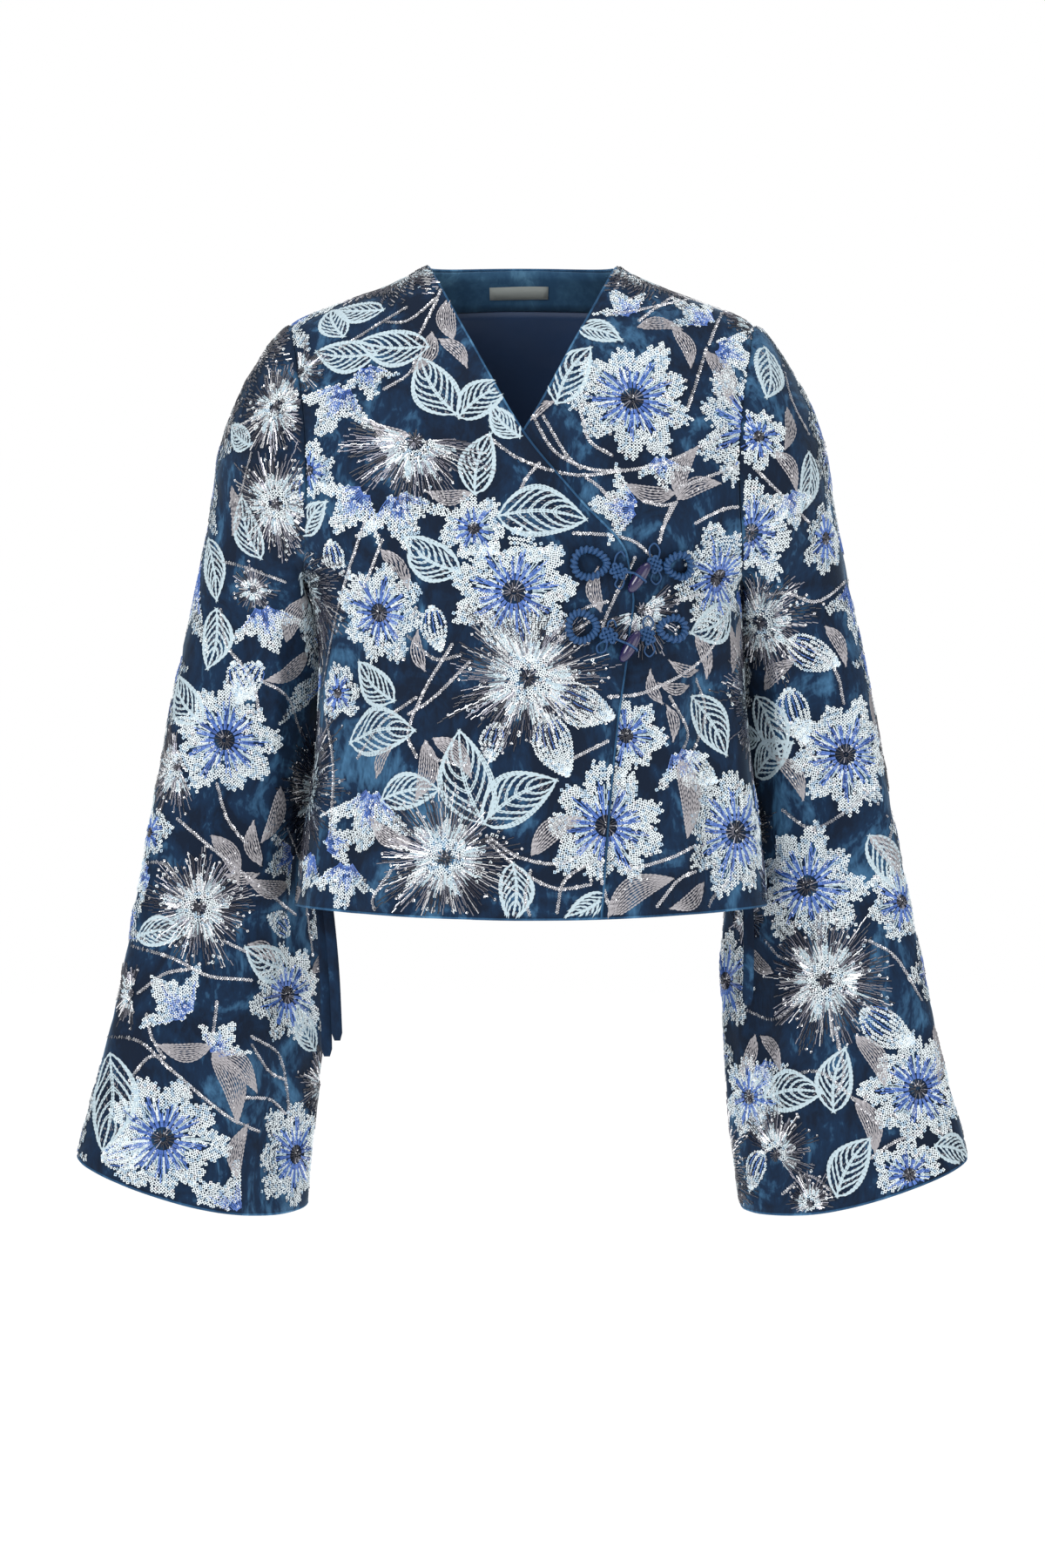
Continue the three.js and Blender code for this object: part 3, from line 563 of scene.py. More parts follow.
    def charts(self) -> dict[str, Chart]:
        """Returns the charts of the five velvet panels by name."""
        table = np.array(self.sleeve_rings)
        self.sleeve_curves = {
            name: Curve(table[:, 0], table[:, k]) for k, name in enumerate(self.sleeve_columns)
        }
        over = self.front_row(-1, OVER_EDGE, True)
        under = self.front_row(1, UNDER_EDGE, False)
        return {
            "front_right": Chart(over, self.spacing, 0.5),
            "front_left": Chart(under, self.spacing, 0.5),
            "back": Chart(self.back_row, self.spacing, 0.6),
            "sleeve_right": Chart(self.sleeve_row(-1), self.spacing, 0.8, closed=True),
            "sleeve_left": Chart(self.sleeve_row(1), self.spacing, 0.8, closed=True),
        }


Values = dict[str | int, object]


class Nodes:
    """Short ways to add and join the nodes of a material or group."""

    def __init__(self, tree: bpy.types.NodeTree) -> None:
        """Keeps the tree that nodes go into."""
        self.tree = tree

    def add(self, kind: str, values: Values | None = None, **settings: object) -> bpy.types.Node:
        """Adds a node.

        Args:
            kind: the node's type.
            values: sockets with a value, or another node's output to join.
            **settings: properties of the node itself.

        Returns:
            The node.
        """
        node = self.tree.nodes.new(kind)
        for name, value in settings.items():
            setattr(node, name, value)
        self.fill(node, values or {})
        return node

    def fill(self, node: bpy.types.Node, values: Values) -> None:
        """Gives a node's sockets their values, a colour with or without its alpha, or joins them."""
        for name, value in values.items():
            socket = node.inputs[name]
            if isinstance(value, bpy.types.NodeSocket):
                self.tree.links.new(value, socket)
            elif socket.type == "RGBA" and len(value) == 3:
                socket.default_value = (*value, 1.0)
            else:
                socket.default_value = value

    def mix(self, share: object, first: object, second: object) -> bpy.types.NodeSocket:
        """Returns two colours mixed by a share of the second."""
        return self.add("ShaderNodeMix", {0: share, 6: first, 7: second}, data_type="RGBA").outputs[2]


def new_group(
    name: str, inputs: Sequence[tuple[str, str, object]], outputs: Sequence[tuple[str, str]]
) -> Nodes:
    """Starts a shader node group.

    Args:
        name: the group's name.
        inputs: name, socket type and default value of each input.
        outputs: name and socket type of each output.

    Returns:
        The nodes of the group, with its input and output nodes in place.
    """
    tree = bpy.data.node_groups.new(name, "ShaderNodeTree")
    for label, kind, value in inputs:
        socket = tree.interface.new_socket(name=label, in_out="INPUT", socket_type=kind)
        socket.default_value = value
    for label, kind in outputs:
        tree.interface.new_socket(name=label, in_out="OUTPUT", socket_type=kind)
    nodes = Nodes(tree)
    nodes.add("NodeGroupInput")
    nodes.add("NodeGroupOutput")
    return nodes


def pile_sheen_group() -> bpy.types.NodeTree:
    """Builds the group that colours velvet in random patches of crushed pile, its brightest patches painted
    sheen where the pile catches the light.
    """
    nodes = new_group(
        "pile_with_painted_sheen",
        (("Deep", COLOUR, BLACK), ("Middle", COLOUR, BLACK), ("Bright", COLOUR, BLACK)),
        (("Color", COLOUR), ("Height", SCALAR), ("Mask", SCALAR)),
    )
    start, end = nodes.tree.nodes["Group Input"].outputs, nodes.tree.nodes["Group Output"]
    place = nodes.add("ShaderNodeTexCoord").outputs["Object"]
    clouds = []
    # How each cloud is stretched upwards, its scale, detail and roughness.
    for stretch, scale, detail, rough in ((0.72, 22.0, 5.0, 0.62), (0.42, 170.0, 3.0, 0.60)):
        tall = nodes.add("ShaderNodeMapping", {"Vector": place, "Scale": (1.0, 1.0, stretch)}).outputs[0]
        looks = {"Vector": tall, "Scale": scale, "Detail": detail, "Roughness": rough, "Distortion": 0.8}
        clouds.append(nodes.add("ShaderNodeTexNoise", looks).outputs["Fac"])
    pile = nodes.add("ShaderNodeTexNoise", {"Vector": place, "Scale": 1500.0, "Detail": 1.0}).outputs["Fac"]
    wide, fine = clouds
    blend = nodes.add("ShaderNodeMath", {0: fine, 1: 0.28, 2: wide}, operation="MULTIPLY_ADD").outputs[0]
    # Noise clouds split the velvet into deep, middle and bright patches. The bright ones are painted sheen
    # where the crushed pile catches the light, and their mask also lowers the roughness.
    low, high = (
        nodes.add("ShaderNodeMapRange", {"Value": blend, "From Min": least, "From Max": most}).outputs[0]
        for least, most in ((0.54, 0.80), (0.69, 0.90))
    )
    colour = nodes.mix(high, nodes.mix(low, start["Deep"], start["Middle"]), start["Bright"])
    height = nodes.add("ShaderNodeMath", {0: pile, 1: 0.25, 2: blend}, operation="MULTIPLY_ADD").outputs[0]
    nodes.fill(end, {"Color": colour, "Height": height, "Mask": high})
    return nodes.tree


def fine_weave_group() -> bpy.types.NodeTree:
    """Builds the group that draws crossing threads, for the lining and the label."""
    nodes = new_group(
        "fine_weave",
        (("Dark", COLOUR, BLACK), ("Light", COLOUR, BLACK), ("Scale", SCALAR, 900.0)),
        (("Color", COLOUR), ("Height", SCALAR)),
    )
    start, end = nodes.tree.nodes["Group Input"].outputs, nodes.tree.nodes["Group Output"]
    place = nodes.add("ShaderNodeTexCoord").outputs["Object"]
    looks = {"Vector": place, "Scale": start["Scale"], "Distortion": 0.6, "Detail": 1.0}
    warp, weft = (
        nodes.add("ShaderNodeTexWave", looks, bands_direction=way).outputs["Fac"] for way in ("X", "Z")
    )
    weave = nodes.add("ShaderNodeMath", {0: warp, 1: weft}, operation="MULTIPLY").outputs[0]
    cloud = nodes.add("ShaderNodeTexNoise", {"Vector": place, "Scale": 22.0, "Detail": 3.0}).outputs["Fac"]
    share = nodes.add("ShaderNodeMath", {0: weave, 1: 0.35, 2: cloud}, operation="MULTIPLY_ADD").outputs[0]
    nodes.fill(end, {"Color": nodes.mix(share, start["Dark"], start["Light"]), "Height": weave})
    return nodes.tree


def new_material(name: str, shown: Colour) -> tuple[Material, Nodes, bpy.types.Node]:
    """Returns a new material with its shown colour, its nodes and its main shader."""
    made = bpy.data.materials.new(name)
    made.use_nodes = True
    made.diffuse_color = (*shown, 1.0)
    return made, Nodes(made.node_tree), made.node_tree.nodes["Principled BSDF"]


@dataclass(frozen=True)
class PlainFinish:
    """A finish of one colour, for small things such as sequins, beads and stitches."""

    colour: Colour
    roughness: float
    metallic: float = 0.0
    coat: float = 0.0
    sheen: float = 0.0
    specular: float = 0.5

    def material(self, name: str) -> Material:
        """Returns the finish as a material of this name."""
        made, nodes, shader = new_material(name, self.colour)
        looks = {
            "Base Color": self.colour,
            "Roughness": self.roughness,
            "Metallic": self.metallic,
            "Coat Weight": self.coat,
            "Coat Roughness": 0.08,
            "Sheen Weight": self.sheen,
            "Specular IOR Level": self.specular,
        }
        nodes.fill(shader, looks)
        return made


@dataclass(frozen=True)
class VelvetFinish:
    """Crushed velvet, its pile brushed into darker and lighter patches at random, the lightest patches painted
    sheen where the pile catches the light.
    """

    deep: Colour = (0.0013, 0.0078, 0.0235)
    middle: Colour = (0.0050, 0.029, 0.079)
    # The bright colour is painted sheen: lighter patches where the crushed pile catches the light.
    bright: Colour = (0.055, 0.165, 0.300)
    sheen: float = 0.22
    bump: float = 0.35

    def material(self, name: str, pile: bpy.types.NodeTree) -> Material:
        """Returns the finish as a material of this name, with the shared group of the pile."""
        made, nodes, shader = new_material(name, self.middle)
        shades = {"Deep": self.deep, "Middle": self.middle, "Bright": self.bright}
        group = nodes.add("ShaderNodeGroup", node_tree=pile)
        nodes.fill(group, shades)
        relief = {"Height": group.outputs["Height"], "Strength": self.bump, "Distance": 0.0012}
        rough = {"Value": group.outputs["Mask"], "To Min": 0.88, "To Max": 0.62}
        looks = {
            "Base Color": group.outputs["Color"],
            "Normal": nodes.add("ShaderNodeBump", relief).outputs[0],
            "Roughness": nodes.add("ShaderNodeMapRange", rough).outputs[0],
            "Sheen Weight": self.sheen,
            "Sheen Roughness": 0.32,
            "Sheen Tint": (0.42, 0.68, 0.95),
            "Specular IOR Level": 0.25,
        }
        nodes.fill(shader, looks)
        return made


@dataclass(frozen=True)
class WovenFinish:
    """A smooth woven cloth of two close colours."""

    dark: Colour
    light: Colour
    roughness: float
    scale: float = 900.0
    sheen: float = 0.2
    bump: float = 0.15

    def material(self, name: str, weave: bpy.types.NodeTree) -> Material:
        """Returns the finish as a material of this name, with the shared group of the weave."""
        made, nodes, shader = new_material(name, self.light)
        group = nodes.add("ShaderNodeGroup", node_tree=weave)
        nodes.fill(group, {"Dark": self.dark, "Light": self.light, "Scale": self.scale})
        relief = {"Height": group.outputs["Height"], "Strength": self.bump, "Distance": 0.0004}
        looks = {
            "Base Color": group.outputs["Color"],
            "Normal": nodes.add("ShaderNodeBump", relief).outputs[0],
            "Roughness": self.roughness,
            "Sheen Weight": self.sheen,
        }
        nodes.fill(shader, looks)
        return made


PLAIN_FINISHES: dict[Finish, PlainFinish] = {
    Finish.CORD: PlainFinish((0.014, 0.062, 0.170), 0.42, sheen=0.04, specular=0.35),
    Finish.TOGGLE: PlainFinish((0.010, 0.005, 0.055), 0.14, coat=0.6),
    Finish.SEQUIN_WHITE: PlainFinish((0.80, 0.88, 0.91), 0.30, specular=0.8),
    Finish.SEQUIN_PALE: PlainFinish((0.46, 0.62, 0.76), 0.28, specular=0.8),
    Finish.SEQUIN_SILVER: PlainFinish((0.82, 0.82, 0.84), 0.18, metallic=1.0),
    Finish.BEAD_PEWTER: PlainFinish((0.24, 0.24, 0.28), 0.24, metallic=1.0),
    Finish.BEAD_BLACK: PlainFinish((0.010, 0.012, 0.026), 0.16, coat=0.5),
    Finish.BUGLE_BLUE: PlainFinish((0.085, 0.19, 0.56), 0.26, coat=0.3),
    Finish.BUGLE_DEEP: PlainFinish((0.045, 0.110, 0.38), 0.26, coat=0.3),
    Finish.THREAD_WHITE: PlainFinish((0.50, 0.62, 0.68), 0.50, sheen=0.2),
    Finish.THREAD_GREY: PlainFinish((0.37, 0.355, 0.375), 0.34, metallic=0.45),
    Finish.STEM_SILVER: PlainFinish((0.50, 0.50, 0.53), 0.26, metallic=0.6),
}


class Finishes:
    """All the materials of the jacket, made once."""

    def __init__(self) -> None:
        """Makes the shared groups and every material."""
        pile, weave = pile_sheen_group(), fine_weave_group()
        self.made: dict[Finish, Material] = {
            finish: plain.material(finish.value) for finish, plain in PLAIN_FINISHES.items()
        }
        self.made[Finish.VELVET] = VelvetFinish().material("velvet", pile)
        facing = VelvetFinish((0.018, 0.062, 0.130), (0.045, 0.125, 0.220), (0.100, 0.240, 0.370))
        self.made[Finish.FACING] = facing.material("velvet_facing", pile)
        # A lighter copy of the velvet for the rolled edges: a painted highlight line where the edge's pile
        # catches the light.
        edge = VelvetFinish((0.010, 0.045, 0.105), (0.034, 0.115, 0.235), (0.110, 0.270, 0.430))
        self.made[Finish.EDGE] = edge.material("velvet_edge", pile)
        satin = WovenFinish((0.006, 0.026, 0.082), (0.012, 0.046, 0.130), 0.42)
        self.made[Finish.LINING] = satin.material("lining_satin", weave)
        tape = WovenFinish((0.20, 0.225, 0.215), (0.36, 0.39, 0.375), 0.75, scale=420.0, bump=0.6)
        self.made[Finish.LABEL] = tape.material("label_tape", weave)

    def __getitem__(self, finish: Finish) -> Material:
        """Returns one material."""
        return self.made[finish]


def link_piece(name: str, mesh: Mesh, replaced: Sequence[str] = ()) -> Object:
    """Args:
        name: the piece's name.
        mesh: its mesh, in metres.
        replaced: the frame's nodes that it stands for.

    Returns:
        The piece.
    """
    piece = bpy.data.objects.new(name, mesh)
    bpy.context.scene.collection.objects.link(piece)
    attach(piece, BODY)
    if replaced:
        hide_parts(*replaced)
    LOG.info("%s: %d faces", name, len(mesh.polygons))
    return piece


def mesh_of(bm: bmesh.types.BMesh, name: str) -> Mesh:
    """Returns what a bmesh holds as a smooth mesh, and frees the bmesh."""
    for face in bm.faces:
        face.smooth = True
    mesh = bpy.data.meshes.new(name)
    bm.to_mesh(mesh)
    bm.free()
    return mesh


def add_wall(piece: Object, thickness: float, offset: float = -1.0) -> bpy.types.Modifier:
    """Gives a sheet its thickness, all of it inwards unless the offset says otherwise."""
    wall = piece.modifiers.new("wall", "SOLIDIFY")
    wall.thickness = thickness * MM
    wall.offset = offset
    return wall


def grid_mesh(
    name: str, chart: Chart, first: Pair = (0.0, 0.0), last: Pair = (1.0, 1.0), inward: float = 0.0
) -> Mesh:
    """Lays a bmesh grid on a chart.

    Args:
        name: the mesh's name.
        chart: the cloth surface.
        first: shares across and up of the grid's first corner.
        last: shares of its last corner.
        inward: how far it lies inside the chart's surface.

    Returns:
        The mesh, in metres, its faces pointing out.
    """
    columns = max(int(round(chart.columns * (last[0] - first[0]))), 2)
    rows = max(int(round(chart.rows * (last[1] - first[1]))), 1)
    bm = bmesh.new()
    bmesh.ops.create_grid(bm, x_segments=columns, y_segments=rows, size=0.5)
    bm.verts.ensure_lookup_table()
    flat = np.array([vert.co for vert in bm.verts])
    s = lerp(first[0], last[0], flat[:, 0] + 0.5)
    t = lerp(first[1], last[1], flat[:, 1] + 0.5)
    wrap = np.clip(s, 0.0, 1.0 - 1e-9) if not chart.closed else s
    normal = unit(chart.look_up(chart.normals, wrap, t))
    point = chart.look_up(chart.points, wrap, t) - normal * inward
    for vert, place in zip(bm.verts, point * MM):
        vert.co = place
    if chart.closed:
        bmesh.ops.remove_doubles(bm, verts=bm.verts, dist=1e-6)
    bm.normal_update()
    bm.faces.ensure_lookup_table()
    face = bm.faces[len(bm.faces) // 2]
    centre = np.array(face.calc_center_median()) / MM
    nearest = np.argmin(np.linalg.norm(point - centre, axis=1))
    if float(np.dot(np.array(face.normal), normal[nearest])) < 0:
        bmesh.ops.reverse_faces(bm, faces=bm.faces)
    return mesh_of(bm, name)


def cord_mesh(name: str, lines: Sequence[Array], radius: float, closed: bool, sides: int = 2) -> Mesh:
    """Makes cords along lines of points as one mesh.

    Args:
        name: the mesh's name.
        lines: each cord's points, in millimetres.
        radius: the cords' radius.
        closed: whether each cord ends where it starts.
        sides: how finely a section is rounded.

    Returns:
        The mesh, in metres.
    """
    curve = bpy.data.curves.new(name, "CURVE")
    curve.dimensions = "3D"
    curve.bevel_depth = radius * MM
    curve.bevel_resolution = sides
    curve.use_fill_caps = True
    for line in lines:
        spline = curve.splines.new("POLY")
        spline.points.add(len(line) - 1)
        spline.use_cyclic_u = closed
        for point, place in zip(spline.points, line):
            point.co = (*(place * MM), 1.0)
    holder = bpy.data.objects.new(name + "_path", curve)
    bpy.context.scene.collection.objects.link(holder)
    graph = bpy.context.evaluated_depsgraph_get()
    mesh = bpy.data.meshes.new_from_object(holder.evaluated_get(graph))
    mesh.name = name
    bpy.data.objects.remove(holder)
    for polygon in mesh.polygons:
        polygon.use_smooth = True
    return mesh


def join_meshes(name: str, meshes: Sequence[Mesh]) -> Mesh:
    """Returns one mesh with everything that the given ones hold."""
    bm = bmesh.new()
    for mesh in meshes:
        bm.from_mesh(mesh)
    return mesh_of(bm, name)


Shades = Sequence[tuple[Finish, float]]


class Bit(Enum):
    """The small shapes that the embroidery is made of."""

    SEQUIN = "sequin"
    BUGLE = "bugle"
    GRAIN = "grain"
    BEAD = "bead"


def bit_template(bit: Bit) -> tuple[Array, list[list[int]]]:
    """Makes one small shape, a millimetre across or long, lying flat with its length along x.

    Args:
        bit: which shape.

    Returns:
        Its vertices and its faces.
    """
    bm = bmesh.new()
    if bit is Bit.SEQUIN:
        for radius, height in ((0.5, 0.0), (0.21, -0.07)):
            lift = Matrix.Translation((0.0, 0.0, height))
            bmesh.ops.create_circle(bm, cap_ends=False, segments=4, radius=radius, matrix=lift)
        bmesh.ops.bridge_loops(bm, edges=bm.edges)
    elif bit is Bit.BUGLE:
        bmesh.ops.create_grid(bm, x_segments=1, y_segments=2, size=0.5)
        for vert in bm.verts:
            vert.co.z = 0.5 if abs(vert.co.y) < 0.1 else -0.3
    elif bit is Bit.GRAIN:
        bmesh.ops.create_cone(bm, segments=4, radius1=0.5, radius2=0.0, depth=0.8)
    else:
        bmesh.ops.create_icosphere(bm, subdivisions=1, radius=0.5)
    bmesh.ops.recalc_face_normals(bm, faces=bm.faces)
    bm.normal_update()
    if bit is not Bit.BEAD and sum(face.normal.z for face in bm.faces) < 0:
        bmesh.ops.reverse_faces(bm, faces=bm.faces)
    verts = np.array([vert.co for vert in bm.verts])
    faces = [[vert.index for vert in face.verts] for face in bm.faces]
    bm.free()
    return verts, faces


@dataclass
class Stitches:
    """A set of small shapes in a motif's own plane."""

    bit: Bit
    finish: Finish
    a: Array
    b: Array
    angle: Array
    length: Array
    width: Array
    thick: float
    tilt: float = 0.0


Spread = Array | float


def set_of(
    bit: Bit, finish: Finish, a: Array, b: Array, angle: Spread, length: Spread, width: Spread, thick: float
) -> Stitches:
    """Returns stitches with single values spread over all of them."""
    a, b = np.atleast_1d(np.asarray(a, float)), np.atleast_1d(np.asarray(b, float))
    spread = [np.broadcast_to(np.asarray(value, float), a.shape).copy() for value in (angle, length, width)]
    return Stitches(bit, finish, a, b, *spread, thick)


def sequins(finish: Finish, a: Array, b: Array, angle: Spread, size: float, tilt: float) -> Stitches:
    """Returns sequins of one size, each tilted by chance as it is laid."""
    made = set_of(Bit.SEQUIN, finish, a, b, angle, size, size, size)
    made.tilt = tilt
    return made


def split_by(chance: Shades, rng: Rng, count: int) -> list[tuple[Finish, Array]]:
    """Shares things out among finishes by chance.

    Args:
        chance: finishes with their shares.
        rng: the source of chance.
        count: how many things there are.

    Returns:
        Each finish with a mask of its things.
    """
    drawn = rng.choice(len(chance), size=count, p=[share for _, share in chance])
    return [(finish, drawn == k) for k, (finish, _) in enumerate(chance)]


WHITES = ((Finish.SEQUIN_WHITE, 0.76), (Finish.SEQUIN_PALE, 0.20), (Finish.SEQUIN_SILVER, 0.04))
WHITE_RAYS = ((Finish.THREAD_WHITE, 0.8), (Finish.SEQUIN_WHITE, 0.2))
INNER_METALS = ((Finish.THREAD_WHITE, 0.38), (Finish.BEAD_PEWTER, 0.32), (Finish.SEQUIN_SILVER, 0.30))
OUTER_METALS = ((Finish.BEAD_BLACK, 0.46), (Finish.BEAD_PEWTER, 0.40), (Finish.SEQUIN_SILVER, 0.14))
STEM_SHADES = ((Finish.STEM_SILVER, 0.86), (Finish.SEQUIN_SILVER, 0.14))
BLUES = ((Finish.BUGLE_BLUE, 0.7), (Finish.BUGLE_DEEP, 0.3))
DARKS = ((Finish.BEAD_BLACK, 0.6), (Finish.BEAD_PEWTER, 0.4))
SEQUIN_SIZE = 3.4
SEQUIN_STEP = 2.75
SEQUIN_SIZES = {"petal": 2.9, "tip": 2.6, "leaf": 1.9, "stem": 3.1, "stem_end": 4.0}
FLAT_TILT, LOOSE_TILT = 0.22, 0.3


def petal_field(
    rng: Rng,
    radius: float,
    outline: Callable[[Array], Array],
    low: float,
    keep: Callable[[Array, Array], Array],
    shades: Shades,
) -> list[Stitches]:
    """Fills a round shape with sequins in staggered arcs.

    Args:
        rng: the source of chance.
        radius: the shape's largest radius.
        outline: the shape's radius by angle.
        low: the radius that the sequins start from.
        keep: which of the places by radius share and angle get a sequin.
        shades: the sequins' finishes with their shares.

    Returns:
        The sequins.
    """
    places = []
    for k, r in enumerate(np.arange(low, radius, SEQUIN_STEP * 0.92)):
        count = max(int(2 * math.pi * r / SEQUIN_STEP), 5)
        angle = 2 * math.pi * (np.arange(count) + 0.5 * (k % 2)) / count
        places.append(np.stack([np.full(count, r), angle], axis=-1))
    polar = np.concatenate(places)
    r = polar[:, 0] + rng.uniform(-0.35, 0.35, len(polar))
    angle = polar[:, 1] + rng.uniform(-0.3, 0.3, len(polar)) / np.maximum(r, 1.0)
    edge = outline(angle)
    held = (r < edge) & keep(r / np.maximum(edge, 1e-6), angle)
    r, angle = r[held], angle[held]
    a, b = r * np.cos(angle), r * np.sin(angle)
    return [
        sequins(finish, a[mask], b[mask], angle[mask], SEQUIN_SIZE, FLAT_TILT)
        for finish, mask in split_by(shades, rng, len(a))
    ]


def strands(
    rng: Rng, angles: Array, start: Spread, end: Array, shades: Shades, bead: float, width: float
) -> list[Stitches]:
    """Lays rows of long beads outwards from a centre.

    Args:
        rng: the source of chance.
        angles: each row's direction.
        start: the radius at which each row starts.
        end: the radius at which it ends.
        shades: the beads' finishes with their shares.
        bead: a bead's length.
        width: a bead's width.

    Returns:
        The beads.
    """
    start, end = np.broadcast_to(start, angles.shape), np.broadcast_to(end, angles.shape)
    made = []
    for finish, mask in split_by(shades, rng, len(angles)):
        r, angle = [np.zeros(0)], [np.zeros(0)]
        for direction, low, high in zip(angles[mask], start[mask], end[mask]):
            along = np.arange(low + bead / 2, high, bead * 1.06)
            r.append(along)
            angle.append(np.full(len(along), direction) + rng.normal(0, 0.012, len(along)))
        r, angle = np.concatenate(r), np.concatenate(angle)
        if len(r):
            a, b = r * np.cos(angle), r * np.sin(angle)
            made.append(set_of(Bit.BUGLE, finish, a, b, angle, bead, width, width))
    return made


def flower_heart(rng: Rng, radius: float) -> list[Stitches]:
    """Returns the dark beads in a flower's middle."""
    angles = 2 * math.pi * (np.arange(17) + rng.uniform(-0.2, 0.2, 17)) / 17
    rays = strands(rng, angles, 0.05 * radius, radius * rng.uniform(0.15, 0.24, 17), DARKS, 2.3, 1.1)
    turn = rng.uniform(0, 2 * math.pi, 9)
    r = radius * rng.uniform(0.0, 0.1, 9)
    beads = set_of(Bit.BEAD, Finish.BEAD_BLACK, r * np.cos(turn), r * np.sin(turn), 0.0, 1.8, 1.8, 1.8)
    shine = set_of(Bit.BEAD, Finish.SEQUIN_SILVER, r[:3] * np.sin(turn[:3]), r[:3], 0.0, 1.5, 1.5, 1.5)
    return rays + [beads, shine]


def lobes(angle: Array, petals: int, turn: float, seed: float, sharp: float) -> Array:
    """Returns how far petals reach out at an angle, as a share of one."""
    half = petals * (angle - turn) / 2
    wave = 0.75 * np.abs(np.cos(half)) + 0.25 * (1 - np.abs(np.sin(half)))
    uneven = 1 + 0.07 * np.sin(3 * angle + seed) + 0.05 * np.sin(5 * angle - 2 * seed)
    teeth = 0.045 * np.sin(petals * 5 * (angle - turn))
    return (1 - sharp + sharp * wave**0.75 + teeth) * uneven / 1.06


def pale_flower(rng: Rng, radius: float, turn: float) -> list[Stitches]:
    """Stitches a wide flower of white sequins with blue rays and a dark heart."""
    petals = 9 if radius > 42 else (8 if radius > 34 else 7)
    seed = rng.uniform(0, 6)

    def outline(angle: Array) -> Array:
        """Returns the flower's radius by angle."""
        return 1.1 * radius * lobes(angle, petals, turn, seed, 0.29)

    def blue_to(angle: Array) -> Array:
        """Returns the share of the radius that the blue rays reach."""
        wave = np.abs(np.cos(petals * (angle - turn) / 2))
        return 0.44 + 0.22 * wave + 0.06 * np.sin(7 * angle + seed)

    def keep(share: Array, angle: Array) -> Array:
        """Thins the sequins out between the rays."""
        return (share > blue_to(angle)) | (rng.uniform(size=share.shape) < 0.26)

    made = petal_field(rng, radius * 1.2, outline, 0.2 * radius, keep, WHITES)
    count = int(radius * 2.2)
    angles = 2 * math.pi * (np.arange(count) + rng.uniform(-0.25, 0.25, count)) / count
    reach = outline(angles) * (blue_to(angles) + rng.uniform(-0.08, 0.10, count))
    pale = np.arange(count) % 5 < 2
    made += strands(rng, angles[~pale], 0.19 * radius, reach[~pale], BLUES, 3.6, 1.1)
    made += strands(rng, angles[pale], 0.30 * radius, reach[pale], WHITE_RAYS, 3.6, 1.0)
    return made + flower_heart(rng, radius)


def metal_flower(rng: Rng, radius: float, turn: float, fan: float = math.pi) -> list[Stitches]:
    """Stitches a ragged flower of pewter and silver rays round pale sequins."""
    petals = 9 if radius > 34 else 7
    seed = rng.uniform(0, 6)

    def outline(angle: Array) -> Array:
        """Returns the flower's radius by angle."""
        return 1.08 * radius * lobes(angle, petals, turn, seed, 0.30)

    def keep(share: Array, angle: Array) -> Array:
        """Keeps a pale star in the middle and scattered sequins beyond it."""
        star = 0.40 + 0.20 * np.abs(np.cos(petals * (angle - turn) / 2)) + 0.06 * np.sin(5 * angle + seed)
        within = np.abs(np.mod(angle - turn + math.pi, 2 * math.pi) - math.pi) < fan
        return within & (((share < star) & (share > 0.14)) | (rng.uniform(size=share.shape) < 0.05))

    pale = ((Finish.SEQUIN_WHITE, 0.66), (Finish.SEQUIN_SILVER, 0.20), (Finish.SEQUIN_PALE, 0.14))
    made = petal_field(rng, radius * 1.13, outline, 0.13 * radius, keep, pale)
    count = int(radius * 2.9 * fan / math.pi)
    angles = turn + fan * (2 * (np.arange(count) + rng.uniform(-0.3, 0.3, count)) / count - 1)
    edge = outline(angles)
    middle = edge * rng.uniform(0.50, 0.68, count)
    reach = edge * rng.uniform(0.84, 1.24, count)
    made += strands(rng, angles, edge * rng.uniform(0.30, 0.42, count), middle, INNER_METALS, 4.0, 1.0)
    made += strands(rng, angles, middle, reach, OUTER_METALS, 5.0, 0.95)
    tip = rng.uniform(size=count) < 0.3
    a, b = reach * np.cos(angles), reach * np.sin(angles)
    shine = sequins(Finish.SEQUIN_SILVER, a[tip], b[tip], angles[tip], SEQUIN_SIZES["tip"], LOOSE_TILT)
    made.append(shine)
    return made + flower_heart(rng, radius * 0.7)


def side_blossom(rng: Rng, radius: float, turn: float) -> list[Stitches]:
    """Stitches a half-open blossom seen from the side: white petals with blue rays from its foot."""
    seed = rng.uniform(0, 6)
    fan = math.radians(54)

    def outline(angle: Array) -> Array:
        """Returns the blossom's reach by angle, nothing outside its fan."""
        off = np.mod(angle - turn + math.pi, 2 * math.pi) - math.pi
        wave = 0.4 * np.abs(np.cos(3.2 * off)) + 0.6 * (1 - np.abs(np.sin(3.2 * off)))
        reach = 0.58 + 0.42 * wave + 0.04 * np.sin(23 * off + seed)
        return np.where(np.abs(off) < fan, 1.1 * radius * reach, 0.0)

    def keep(share: Array, angle: Array) -> Array:
        """Thins the sequins out near the foot."""
        return (share > 0.42 + 0.1 * np.sin(9 * angle + seed)) | (rng.uniform(size=share.shape) < 0.35)

    made = petal_field(rng, radius * 1.2, outline, 0.16 * radius, keep, WHITES)
    count = max(int(radius * 0.8), 9)
    angles = turn + fan * 0.94 * (2 * (np.arange(count) + 0.5) / count - 1)
    reach = outline(angles) * rng.uniform(0.46, 0.74, count)
    start = np.where(np.arange(count) % 2, 0.40, 0.16) * radius
    return made + strands(rng, angles, start, reach, BLUES, 2.5, 0.8)


